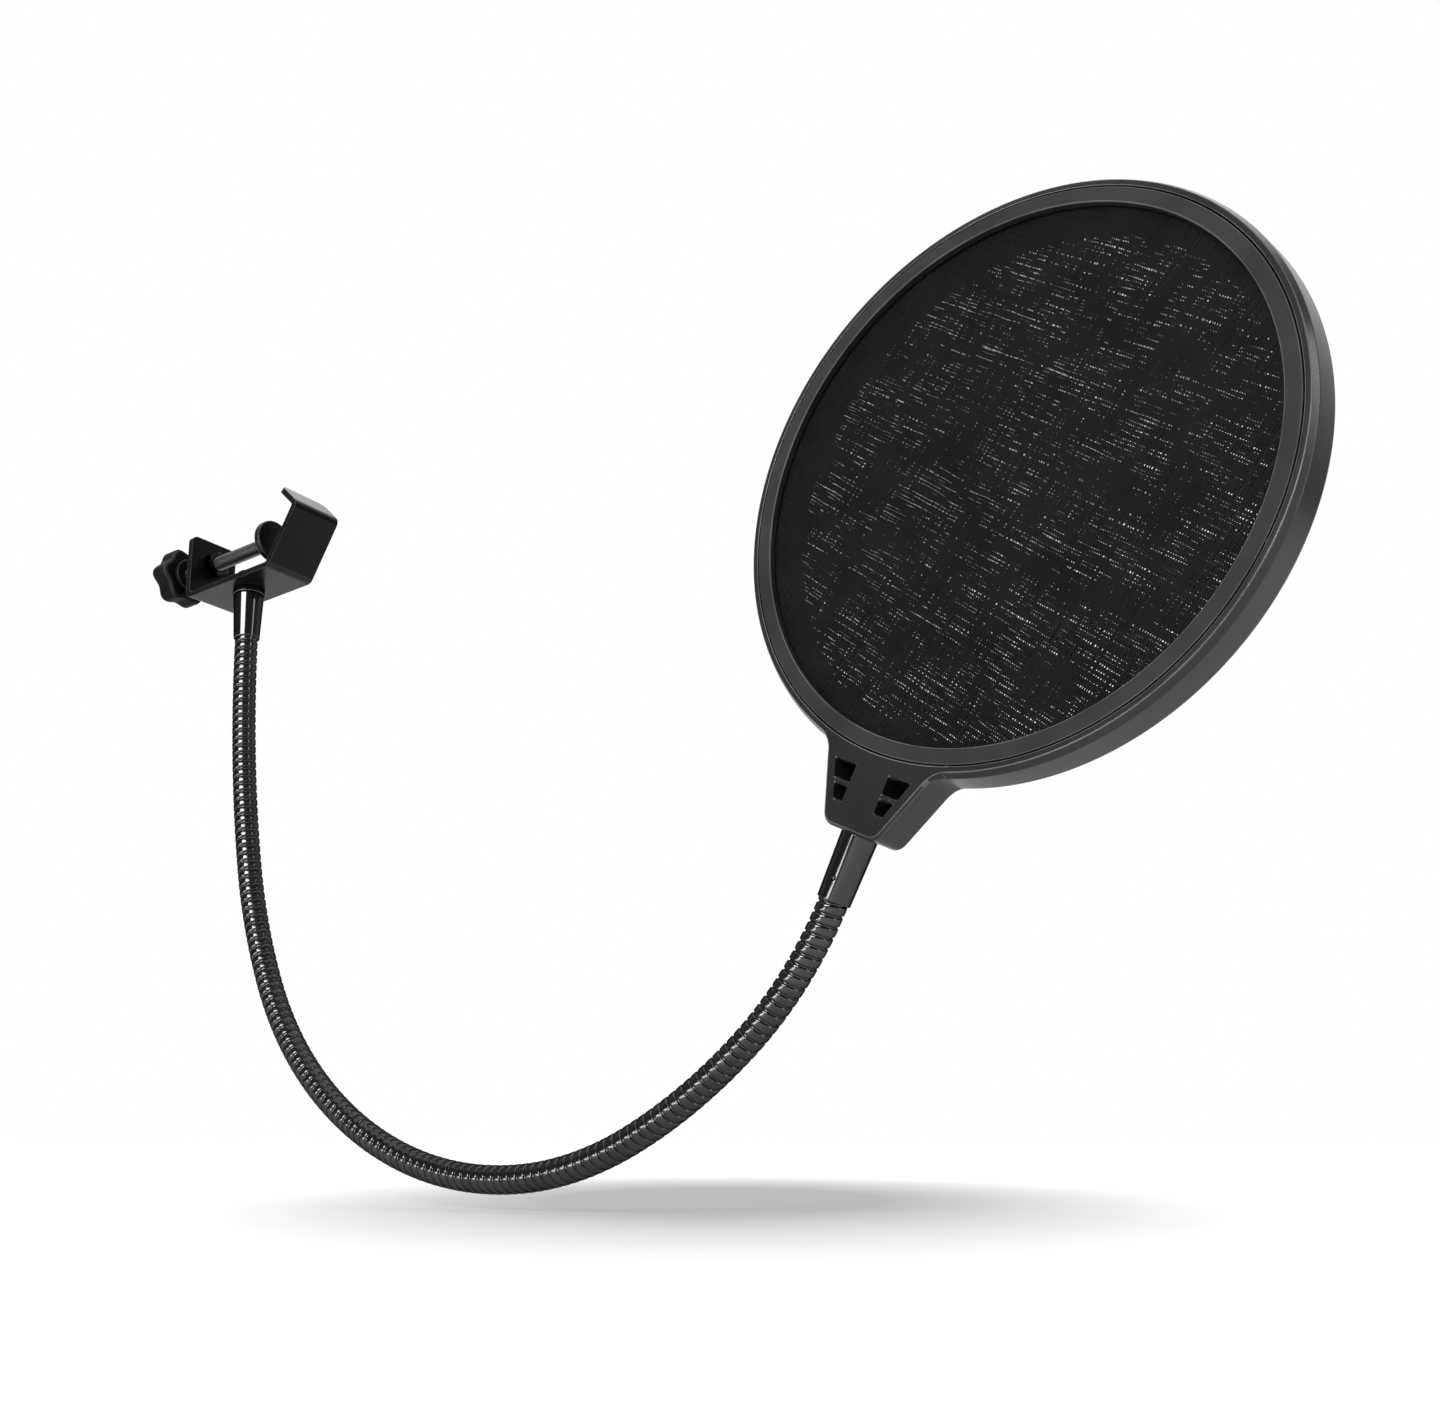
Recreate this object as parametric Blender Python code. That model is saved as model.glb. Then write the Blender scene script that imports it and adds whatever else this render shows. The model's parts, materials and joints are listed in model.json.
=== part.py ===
"""Pop filter: a two-layer mesh screen on a gooseneck arm with a screw clamp.

The origin lies on the axis of the stand pole that the clamp grips. +Y runs along
the pole, +X from the thumb screw towards the jaw, and +Z up along the lower ferrule.
All sizes are in metres.
"""

from math import asin, atan2, cos, pi, radians, sin, sqrt, tan

import bmesh
import bpy
from mathutils import Matrix, Vector

# Clearances
SEAT = 0.0003
MERGE = 0.000001
SMOOTH_ANGLE = radians(35)

# Head: frame shell, bezel, spacer and the two mesh layers
HEAD_DIAMETER = 0.156
HEAD_DEPTH = 0.010
HEAD_DRAFT = 0.0005
HEAD_WALL = 0.003
LIP_CHAMFER = 0.001
LIP_CHAMFER_DEPTH = 0.0019
BACK_FILLET = 0.0008
FLANGE_THICKNESS = 0.0014
FLANGE_WIDTH = 0.0111
BEZEL_WIDTH = 0.004
BEZEL_THICKNESS = 0.0021
BEZEL_CHAMFER = 0.0005
BEZEL_GROOVE = 0.0004
MESH_THICKNESS = 0.0003
RING_STEPS = 96

# Tail below the ring
TAIL_LENGTH = 0.017
TAIL_FOOT_WIDTH = 0.0175
TAIL_TAPER = radians(24)
TAIL_FILLET = 0.0075
TAIL_CORNER = 0.004
TAIL_CHAMFER = 0.0007
POCKET_TOP = 0.001
POCKET_HEIGHTS = (0.0048, 0.0039)
POCKET_RIB = 0.0011
POCKET_WALL = 0.0034
POCKET_FLOOR = 0.002
BOSS_WIDTH = 0.0108
FILLET_STEPS = 8

# Gooseneck, as equal stretches that each hang in one arc
NECK_DIAMETER = 0.0076
NECK_ROOT_DIAMETER = 0.0066
NECK_BORE = 0.0034
NECK_END_DIAMETER = 0.0046
NECK_STRETCH = 0.0409
NECK_TURNS = tuple(radians(turn) for turn in (5, 5.5, 13, 22.5, 21, 21.5, 23.5, 15.5, 22))
NECK_FLEX = radians(20)
RIBS_PER_STRETCH = 15
NECK_SIDES = 10
BORE_STEPS = 6
SPIGOT_LENGTH = 0.008

# Ferrules and their fastenings
LOWER_FERRULE_LENGTH = 0.0159
UPPER_FERRULE_LENGTH = 0.0167
FERRULE_WALL = 0.0007
LOWER_FERRULE_DIAMETER = 0.0102
UPPER_FERRULE_DIAMETER = 0.0094
COLLAR_DIAMETER = 0.0106
COLLAR_HEIGHT = 0.0017
COLLAR_CHAMFER = 0.0003
PUNCH_DIAMETER = 0.0016
PUNCH_PLACE = 0.0055
THREAD_DIAMETER = 0.005
SCREW_HEAD_DIAMETER = 0.009
SCREW_HEAD_HEIGHT = 0.003
WASHER_DIAMETER = 0.010
WASHER_THICKNESS = 0.001
STUD_GRIP = 0.010
HEAD_TWIST = radians(10)
TURN_STEPS = 32

# Bracket, bent from one strip
POLE_DIAMETER = 0.016
STRIP_WIDTH = 0.0191
SHEET = 0.002
BASE_LENGTH = 0.042
BASE_DROP = 0.019
FERRULE_INSET = 0.0203
WALL_HEIGHT = 0.0242
JAW_LEAN = radians(33.2)
LIP_LEAN = radians(43)
LIP_LENGTH = 0.0118
BEND_RADIUS = 0.003
BEND_STEPS = 5
END_ROUND = 0.0025

# Thumb screw, knob, nut and swivel pad
THUMB_DIAMETER = 0.005
THUMB_HEIGHT = 0.0153
TIP_DIAMETER = 0.0034
NUT_WIDTH = 0.008
NUT_THICKNESS = 0.003
PAD_DIAMETER = 0.015
PAD_DEPTH = 0.005
PAD_FACE = 0.0016
PAD_RIM = 0.0022
PAD_CHAMFER = 0.0005
PAD_NECK_DIAMETER = 0.008
KNOB_DIAMETER = 0.0208
KNOB_LOBES = 6
KNOB_LOBE_DEPTH = 0.0017
KNOB_THICKNESS = 0.0072
KNOB_STANDOFF = 0.0115
KNOB_HUB_DIAMETER = 0.012
KNOB_HUB_LENGTH = 0.0015
KNOB_CAP = 0.002
KNOB_EDGE = 0.001
KNOB_STEPS = 60

# Places worked out from the sizes above
HEAD_RADIUS = HEAD_DIAMETER / 2
LIP_RADIUS = HEAD_RADIUS - HEAD_DRAFT - LIP_CHAMFER
CHANNEL_RADIUS = HEAD_RADIUS - HEAD_WALL
BEZEL_RADIUS = CHANNEL_RADIUS - BEZEL_GROOVE
FRONT_OPENING_RADIUS = BEZEL_RADIUS - BEZEL_WIDTH
REAR_OPENING_RADIUS = HEAD_RADIUS - FLANGE_WIDTH
FRONT = HEAD_DEPTH / 2
BACK = -HEAD_DEPTH / 2
TAIL_REACH = HEAD_RADIUS + TAIL_LENGTH
THREAD_RADIUS = THREAD_DIAMETER / 2
BOLT_HOLE_RADIUS = THREAD_RADIUS + SEAT
NECK_RADIUS = NECK_DIAMETER / 2
ROOT_RADIUS = NECK_ROOT_DIAMETER / 2
SPIGOT_HOLE_RADIUS = ROOT_RADIUS + SEAT
FERRULE_MOUTH_RADIUS = SPIGOT_HOLE_RADIUS + FERRULE_WALL
FLEX_GAP = NECK_END_DIAMETER * tan(NECK_FLEX / 2) + SEAT / 4
BASE_Z = -BASE_DROP
THUMB_Z = BASE_Z + THUMB_HEIGHT
PAD_FRONT = -POLE_DIAMETER / 2 - SEAT


def finish(name, colour, roughness, metallic=0.0):
    """A Principled finish with one colour."""
    material = bpy.data.materials.new(name)
    material.use_nodes = True
    shader = material.node_tree.nodes["Principled BSDF"]
    shader.inputs["Base Color"].default_value = (*colour, 1.0)
    shader.inputs["Roughness"].default_value = roughness
    shader.inputs["Metallic"].default_value = metallic
    return material


def joint_frame(name, parent, local):
    """An empty that carries the pieces of one moving body."""
    empty = bpy.data.objects.new(name, None)
    bpy.context.scene.collection.objects.link(empty)
    empty.parent = parent
    empty.matrix_basis = local
    return empty


def piece(name, bm, material, parent, local=Matrix()):
    """Turn a bmesh into a named object, carried by a joint frame."""
    bmesh.ops.recalc_face_normals(bm, faces=bm.faces)
    mesh = bpy.data.meshes.new(name)
    bm.to_mesh(mesh)
    bm.free()
    mesh.shade_smooth()
    mesh.set_sharp_from_angle(angle=SMOOTH_ANGLE)
    made = bpy.data.objects.new(name, mesh)
    bpy.context.scene.collection.objects.link(made)
    made.parent = parent
    made.matrix_basis = local
    if material:
        mesh.materials.append(material)
    return made


def combine(target, operation, name, bm, local=Matrix()):
    """Join a hidden helper shape to a piece, or cut it away."""
    helper = piece(f"{target.name}_{name}", bm, None, target, local)
    helper.hide_render = True
    helper.display_type = "WIRE"
    boolean = target.modifiers.new(name, "BOOLEAN")
    boolean.operation = operation
    boolean.solver = "EXACT"
    boolean.object = helper


def turned(outline, steps=TURN_STEPS):
    """A shape turned about Z from (radius, height) points; open where it meets the axis."""
    bm = bmesh.new()
    points = [bm.verts.new((radius, 0, height)) for radius, height in outline]
    edges = [bm.edges.new(pair) for pair in zip(points, points[1:])]
    if outline[0][0] > 0:
        edges.append(bm.edges.new((points[-1], points[0])))
    bmesh.ops.spin(
        bm, geom=points + edges, cent=(0, 0, 0), axis=(0, 0, 1), angle=2 * pi,
        steps=steps, use_merge=True,
    )
    bmesh.ops.remove_doubles(bm, verts=bm.verts, dist=MERGE)
    return bm


def rod(radius, low, high, steps=TURN_STEPS):
    """A plain round bar along Z."""
    return turned([(0, high), (radius, high), (radius, low), (0, low)], steps)


def washer_shape(inner, outer, low, high, chamfer=0.0):
    """A flat ring about Z, with its outer edges broken."""
    outline = [(inner, low), (outer - chamfer, low), (outer, low + chamfer),
               (outer, high - chamfer), (outer - chamfer, high), (inner, high)]
    return turned(outline)


def extruded(outlines, low, high):
    """Prisms between two heights from flat outlines of (x, y) points."""
    bm = bmesh.new()
    for outline in outlines:
        face = bm.faces.new([bm.verts.new((x, y, low)) for x, y in outline])
        grown = bmesh.ops.extrude_face_region(bm, geom=[face])["geom"]
        risen = [item for item in grown if isinstance(item, bmesh.types.BMVert)]
        bmesh.ops.translate(bm, verts=risen, vec=(0, 0, high - low))
    return bm


def lofted(levels):
    """A closed shape through outlines of equal length, one in front of another."""
    bm = bmesh.new()
    rows = [[bm.verts.new(point) for point in level] for level in levels]
    bm.faces.new(rows[0])
    bm.faces.new(rows[-1])
    for low, high in zip(rows, rows[1:]):
        for here in range(len(low)):
            bm.faces.new((low[here - 1], low[here], high[here], high[here - 1]))
    return bm


def arc(centre, radius, start, end, steps):
    """Points on a round stretch, from one angle to another."""
    angles = [start + (end - start) * step / steps for step in range(steps + 1)]
    return [(centre[0] + radius * cos(a), centre[1] + radius * sin(a)) for a in angles]


def mirrored(points):
    """The same points on the other side of the Y axis, in the opposite order."""
    return [(-x, y) for x, y in reversed(points)]


def tail_side(depth):
    """Half the tail's width at a distance below the ring's centre."""
    return TAIL_FOOT_WIDTH / 2 + (TAIL_REACH - depth) * tan(TAIL_TAPER)


def tail_rim():
    """The tail's right half, from the ring to the foot.

    Each entry is a point, the way out from it, the share of the ring's draft it has, and
    the share of the ring's edges: one where the tail leaves the ring, zero down its side.
    """
    root = HEAD_RADIUS - HEAD_DRAFT - SEAT / 3
    along = Vector((sin(TAIL_TAPER), cos(TAIL_TAPER)))
    out = Vector((cos(TAIL_TAPER), -sin(TAIL_TAPER)))
    foot = Vector((TAIL_FOOT_WIDTH / 2, -TAIL_REACH))
    # The fillet's centre lies off the side by its radius, and off the ring by the same
    start = foot + out * TAIL_FILLET
    half = start.dot(along)
    spread = sqrt(half * half - start.dot(start) + (root + TAIL_FILLET) ** 2)
    rise = -half - spread if half + spread <= 0 else -half + spread
    middle = start + along * rise
    to_ring = atan2(-middle.y, -middle.x)
    to_side = atan2(-out.y, -out.x)
    fillet = arc(middle, TAIL_FILLET, to_ring, to_side, FILLET_STEPS)
    rim = []
    for step, point in enumerate(fillet):
        rim.append((Vector(point), (middle - Vector(point)).normalized(), 1.0,
                    1 - step / FILLET_STEPS))
    # The foot's corner is tangent to the side and to the bottom edge
    opening = pi / 2 + TAIL_TAPER
    bend = Vector((foot.x - TAIL_CORNER / tan(opening / 2), foot.y + TAIL_CORNER))
    for point in arc(bend, TAIL_CORNER, -TAIL_TAPER, -pi / 2, FILLET_STEPS):
        way = (Vector(point) - bend).normalized()
        rim.append((Vector(point), way, max(way.x, 0), 0.0))
    return rim


def tail_levels():
    """The tail's outlines from back to front, whose edges blend into the ring's edges."""
    rim = tail_rim()
    first = rim[0][0]
    ring_angle = asin(first.x / first.length)
    top = arc((0, 0), CHANNEL_RADIUS + SEAT, -pi / 2 - ring_angle, -pi / 2 + ring_angle,
              FILLET_STEPS)
    levels = []
    for level in range(4):
        right, heights = [], []
        for point, way, draft, share in rim:
            back = BACK_FILLET * max(share, 0.25)
            depth = TAIL_CHAMFER + share * (LIP_CHAMFER_DEPTH - TAIL_CHAMFER)
            inset = TAIL_CHAMFER + share * (LIP_CHAMFER - TAIL_CHAMFER)
            wide = HEAD_DRAFT * draft
            offset = (wide - back, wide, 0, -inset)[level]
            right.append(tuple(point + way * offset))
            heights.append((BACK, BACK + back, FRONT - depth, FRONT)[level])
        heights += heights[::-1] + [heights[-1]] * len(top)
        outline = right + mirrored(right) + top
        levels.append([(x, y, z) for (x, y), z in zip(outline, heights)])
    return levels


def pocket_outlines():
    """Two stacked pockets on each side of the tail's boss."""
    pockets = []
    depth = HEAD_RADIUS + POCKET_TOP
    for height in POCKET_HEIGHTS:
        high, low = depth, depth + height
        right = [(BOSS_WIDTH / 2, -high), (BOSS_WIDTH / 2, -low),
                 (tail_side(low) - POCKET_WALL, -low), (tail_side(high) - POCKET_WALL, -high)]
        pockets += [right, mirrored(right)]
        depth = low + POCKET_RIB
    return pockets


def make_frame_shell(head, plastic):
    """The outer ring with its back flange and the flared tail."""
    ring = turned([
        (REAR_OPENING_RADIUS, BACK), (HEAD_RADIUS - BACK_FILLET, BACK),
        (HEAD_RADIUS, BACK + BACK_FILLET),
        (HEAD_RADIUS - HEAD_DRAFT, FRONT - LIP_CHAMFER_DEPTH), (LIP_RADIUS, FRONT),
        (CHANNEL_RADIUS, FRONT), (CHANNEL_RADIUS, BACK + FLANGE_THICKNESS),
        (REAR_OPENING_RADIUS, BACK + FLANGE_THICKNESS),
    ], RING_STEPS)
    shell = piece("frame_shell", ring, plastic, head)
    combine(shell, "UNION", "tail", lofted(tail_levels()))
    combine(shell, "DIFFERENCE", "pockets",
            extruded(pocket_outlines(), BACK + POCKET_FLOOR, FRONT + POCKET_FLOOR))
    to_stem = Matrix.Translation((0, -TAIL_REACH, 0)) @ Matrix.Rotation(-pi / 2, 4, "X")
    combine(shell, "DIFFERENCE", "stud_hole",
            rod(BOLT_HOLE_RADIUS, -STUD_GRIP, STUD_GRIP + SEAT), to_stem)


def make_screen(head, plastic, nylon):
    """The stack inside the frame: rear mesh, spacer, front mesh and bezel."""
    disc_radius = CHANNEL_RADIUS - 2 * SEAT
    rear_low = BACK + FLANGE_THICKNESS + SEAT
    rear_high = rear_low + MESH_THICKNESS
    bezel_low = FRONT - BEZEL_THICKNESS
    front_high = bezel_low - SEAT
    front_low = front_high - MESH_THICKNESS
    piece("rear_mesh", rod(disc_radius, rear_low, rear_high, RING_STEPS), nylon, head)
    piece("front_mesh", rod(disc_radius, front_low, front_high, RING_STEPS), nylon, head)
    inner = FRONT_OPENING_RADIUS
    hoop = [(inner, rear_high + SEAT), (BEZEL_RADIUS, rear_high + SEAT),
            (BEZEL_RADIUS, front_low - SEAT), (inner, front_low - SEAT)]
    piece("spacer_ring", turned(hoop, RING_STEPS), plastic, head)
    bezel = [(inner, bezel_low), (BEZEL_RADIUS, bezel_low), (BEZEL_RADIUS, FRONT),
             (inner + BEZEL_CHAMFER, FRONT), (inner, FRONT - BEZEL_CHAMFER)]
    piece("bezel_ring", turned(bezel, RING_STEPS), plastic, head)


def ribbed_outline(first, last):
    """Half the section of one gooseneck stretch: ribs outside, a plain bore inside."""
    pitch = NECK_STRETCH / RIBS_PER_STRETCH
    low = -SPIGOT_LENGTH if first else FLEX_GAP / 2
    high = NECK_STRETCH + SPIGOT_LENGTH if last else NECK_STRETCH - FLEX_GAP / 2
    outside = [(NECK_END_DIAMETER / 2, low)]
    if first:
        outside = [(ROOT_RADIUS, low), (ROOT_RADIUS, SEAT)]
    for rib in range(RIBS_PER_STRETCH):
        if rib:
            outside.append((ROOT_RADIUS, rib * pitch))
        outside.append((NECK_RADIUS, (rib + 0.5) * pitch))
    if last:
        outside += [(ROOT_RADIUS, NECK_STRETCH - SEAT), (ROOT_RADIUS, high)]
    else:
        outside.append((NECK_END_DIAMETER / 2, high))
    bore = [(NECK_BORE / 2, high + (low - high) * step / BORE_STEPS)
            for step in range(BORE_STEPS + 1)]
    return outside + bore


def bent(bm, turn):
    """Bend a straight stretch into an arc towards -X, straight past its two ends."""
    radius = NECK_STRETCH / turn
    for vert in bm.verts:
        along = min(max(vert.co.z, 0), NECK_STRETCH)
        past = vert.co.z - along
        angle = along / radius
        across = radius + vert.co.x
        vert.co.z = across * sin(angle) + past * cos(angle)
        vert.co.x = across * cos(angle) - radius - past * sin(angle)
    return bm


def arc_end(turn):
    """The frame at the far end of one arc, in the frame of its near end."""
    radius = NECK_STRETCH / turn
    place = (radius * cos(turn) - radius, 0, radius * sin(turn))
    return Matrix.Translation(place) @ Matrix.Rotation(-turn, 4, "Y")


def make_neck(root, steel):
    """The gooseneck's stretches, each carried by the one before, and its end frame."""
    frame = root
    for number, turn in enumerate(NECK_TURNS, 1):
        first, last = number == 1, number == len(NECK_TURNS)
        stretch = bent(turned(ribbed_outline(first, last), NECK_SIDES), turn)
        piece(f"neck_segment_{number}", stretch, steel, frame)
        frame = joint_frame(f"neck_joint_{number}", frame, arc_end(turn))
    return frame


def ferrule_shape(wide_radius, low, high):
    """A tapered sleeve: wide and threaded at its low end, bored for the neck at its high end."""
    shoulder = high - SPIGOT_LENGTH - SEAT
    return turned([
        (BOLT_HOLE_RADIUS, low), (wide_radius, low), (FERRULE_MOUTH_RADIUS, high),
        (SPIGOT_HOLE_RADIUS, high), (SPIGOT_HOLE_RADIUS, shoulder), (BOLT_HOLE_RADIUS, shoulder),
    ])


def make_upper_joint(neck_end, plated):
    """The ferrule between the gooseneck and the tail, and the stud through them."""
    flip = Matrix.Translation((0, 0, UPPER_FERRULE_LENGTH)) @ Matrix.Rotation(pi, 4, "X")
    ferrule = piece("upper_ferrule", ferrule_shape(UPPER_FERRULE_DIAMETER / 2, 0, UPPER_FERRULE_LENGTH),
                    plated, neck_end, flip)
    punch = bmesh.new()
    bmesh.ops.create_icosphere(punch, subdivisions=2, radius=PUNCH_DIAMETER / 2)
    beside = FERRULE_MOUTH_RADIUS + PUNCH_DIAMETER / 4
    combine(ferrule, "DIFFERENCE", "punch", punch,
            Matrix.Translation((0, beside, UPPER_FERRULE_LENGTH - PUNCH_PLACE)))
    foot = UPPER_FERRULE_LENGTH + SEAT
    low = SPIGOT_LENGTH + 2 * SEAT
    piece("head_stud", rod(THREAD_RADIUS, low, foot + STUD_GRIP), plated, neck_end)


def make_lower_joint(clamp, down, plated):
    """The ferrule under the bracket, with its collar, screw and washer."""
    collar_low = SEAT
    collar_high = collar_low + COLLAR_HEIGHT
    piece("ferrule_collar", washer_shape(BOLT_HOLE_RADIUS, COLLAR_DIAMETER / 2, collar_low,
                                         collar_high, COLLAR_CHAMFER), plated, clamp, down)
    wide = collar_high + SEAT
    high = wide + LOWER_FERRULE_LENGTH
    piece("lower_ferrule", ferrule_shape(LOWER_FERRULE_DIAMETER / 2, wide, high),
          plated, clamp, down)
    washer_low = -SHEET - SEAT
    washer_high = washer_low - WASHER_THICKNESS
    piece("ferrule_washer", washer_shape(BOLT_HOLE_RADIUS, WASHER_DIAMETER / 2, washer_high,
                                         washer_low), plated, clamp, down)
    under_head = washer_high - SEAT
    top = under_head - SCREW_HEAD_HEIGHT
    tip = high - SPIGOT_LENGTH - 2 * SEAT
    head_radius = SCREW_HEAD_DIAMETER / 2
    edge = SCREW_HEAD_HEIGHT / 3
    piece("ferrule_screw", turned([
        (0, top), (head_radius - edge, top), (head_radius, top + edge),
        (head_radius, under_head), (THREAD_RADIUS, under_head), (THREAD_RADIUS, tip), (0, tip),
    ]), plated, clamp, down)
    return high


def strip_outline(corners):
    """The section of a bent strip, whose outside runs through the corners."""
    points = [Vector(corner) for corner in corners]
    ways = [(b - a).normalized() for a, b in zip(points, points[1:])]
    insides = [Vector((-way.y, way.x)) for way in ways]
    outer = [points[0]]
    inner = [points[0] + insides[0] * SHEET]
    for corner, one, two in zip(points[1:], insides, insides[1:]):
        middle = corner + (one + two) * (BEND_RADIUS / (1 + one.dot(two)))
        start = atan2(-one.y, -one.x)
        sweep = atan2(one.cross(two), one.dot(two))
        outer += arc(middle, BEND_RADIUS, start, start + sweep, BEND_STEPS)
        inner += arc(middle, BEND_RADIUS - SHEET, start, start + sweep, BEND_STEPS)
    outer.append(points[-1])
    inner.append(points[-1] + insides[-1] * SHEET)
    return [tuple(point) for point in outer], [tuple(point) for point in inner]


def jaw_corners():
    """The strip's outside corners, from the top of the upright wall to the lip's edge."""
    wall_in = Vector((-cos(JAW_LEAN), sin(JAW_LEAN)))
    lip_in = Vector((-cos(LIP_LEAN), -sin(LIP_LEAN)))
    reach = POLE_DIAMETER / 2 + SHEET
    # Both jaw faces stand one reach from the pole's axis, and meet at the apex
    apex = (wall_in + lip_in) * (-reach / (1 + wall_in.dot(lip_in)))
    foot_x = apex.x - (apex.y - BASE_Z) * tan(JAW_LEAN)
    wall_x = foot_x - BASE_LENGTH
    edge = apex + Vector((-sin(LIP_LEAN), cos(LIP_LEAN))) * LIP_LENGTH
    return [(wall_x, BASE_Z + WALL_HEIGHT), (wall_x, BASE_Z), (foot_x, BASE_Z), apex, edge]


def make_bracket(clamp, painted, corners, ferrule_x):
    """The bent strip, with its two holes and its rounded ends."""
    outer, inner = strip_outline(corners)
    half = STRIP_WIDTH / 2
    strip = extruded([outer + inner[::-1]], -half, half)
    ends = [{0, len(outer) + len(inner) - 1}, {len(outer) - 1, len(outer)}]
    count = len(outer) + len(inner)
    strip.verts.index_update()
    edges = [edge for edge in strip.edges
             if {vert.index % count for vert in edge.verts} in ends
             and abs(edge.verts[0].co.z - edge.verts[1].co.z) < MERGE]
    bmesh.ops.bevel(strip, geom=edges, offset=END_ROUND, segments=BEND_STEPS, profile=0.5,
                    affect="EDGES", material=-1)
    upright = Matrix.Rotation(pi / 2, 4, "X")
    bracket = piece("bracket", strip, painted, clamp, upright)
    to_plate = upright.inverted()
    base_hole = Matrix.Translation((ferrule_x, 0, BASE_Z))
    combine(bracket, "DIFFERENCE", "base_hole", rod(BOLT_HOLE_RADIUS, -SHEET, 2 * SHEET),
            to_plate @ base_hole)
    wall_hole = Matrix.Translation((corners[0][0], 0, THUMB_Z)) @ Matrix.Rotation(pi / 2, 4, "Y")
    combine(bracket, "DIFFERENCE", "wall_hole", rod(THUMB_DIAMETER / 2 + SEAT, -SHEET, 2 * SHEET),
            to_plate @ wall_hole)


def make_clamp_nut(clamp, plated, axis, wall_x):
    """The hexagonal weld nut inside the upright wall."""
    low = wall_x + SHEET + SEAT
    corner_radius = NUT_WIDTH / 2 / cos(pi / 6)
    nut = piece("clamp_nut", extruded([arc((0, 0), corner_radius, 0, 5 * pi / 3, 5)], low,
                                      low + NUT_THICKNESS), plated, clamp, axis)
    combine(nut, "DIFFERENCE", "thread", rod(THUMB_DIAMETER / 2 + SEAT, low - SHEET,
                                             low + NUT_THICKNESS + SHEET))


def make_pad(travel, plated):
    """The swivel pad: a flat face on a cup that the screw's tip turns in."""
    back = PAD_FRONT - PAD_DEPTH
    rim = PAD_DIAMETER / 2
    socket = TIP_DIAMETER / 2 + SEAT
    piece("swivel_pad", turned([
        (0, PAD_FRONT), (rim - PAD_CHAMFER, PAD_FRONT), (rim, PAD_FRONT - PAD_CHAMFER),
        (rim, PAD_FRONT - PAD_RIM), (PAD_NECK_DIAMETER / 2, back), (socket, back),
        (socket, PAD_FRONT - PAD_FACE), (0, PAD_FRONT - PAD_FACE),
    ]), plated, travel)


def make_thumb_screw(turn, plated, plastic, wall_x):
    """The threaded rod with its lobed knob."""
    shoulder = PAD_FRONT - PAD_DEPTH - SEAT
    tip = PAD_FRONT - PAD_FACE - SEAT
    rim_high = wall_x - KNOB_STANDOFF
    rim_low = rim_high - KNOB_THICKNESS
    thumb = THUMB_DIAMETER / 2
    piece("thumb_screw", turned([
        (0, tip), (TIP_DIAMETER / 2, tip), (TIP_DIAMETER / 2, shoulder), (thumb, shoulder),
        (thumb, rim_low + KNOB_CAP + SEAT), (0, rim_low + KNOB_CAP + SEAT),
    ]), plated, turn)
    middle = (KNOB_DIAMETER - KNOB_LOBE_DEPTH) / 2
    outline = []
    for step in range(KNOB_STEPS):
        angle = 2 * pi * step / KNOB_STEPS
        radius = middle + KNOB_LOBE_DEPTH / 2 * cos(KNOB_LOBES * (angle - pi / 2))
        outline.append((radius * cos(angle), radius * sin(angle)))
    body = extruded([outline], rim_low, rim_high)
    edges = [edge for edge in body.edges
             if abs(edge.verts[0].co.z - edge.verts[1].co.z) < MERGE]
    bmesh.ops.bevel(body, geom=edges, offset=KNOB_EDGE, segments=2, profile=0.5,
                    affect="EDGES", material=-1)
    knob = piece("knob", body, plastic, turn)
    combine(knob, "UNION", "hub", rod(KNOB_HUB_DIAMETER / 2, rim_high - KNOB_HUB_LENGTH,
                                      rim_high + KNOB_HUB_LENGTH))
    combine(knob, "DIFFERENCE", "socket", rod(thumb + SEAT, rim_low + KNOB_CAP,
                                              rim_high + 2 * KNOB_HUB_LENGTH))


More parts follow.
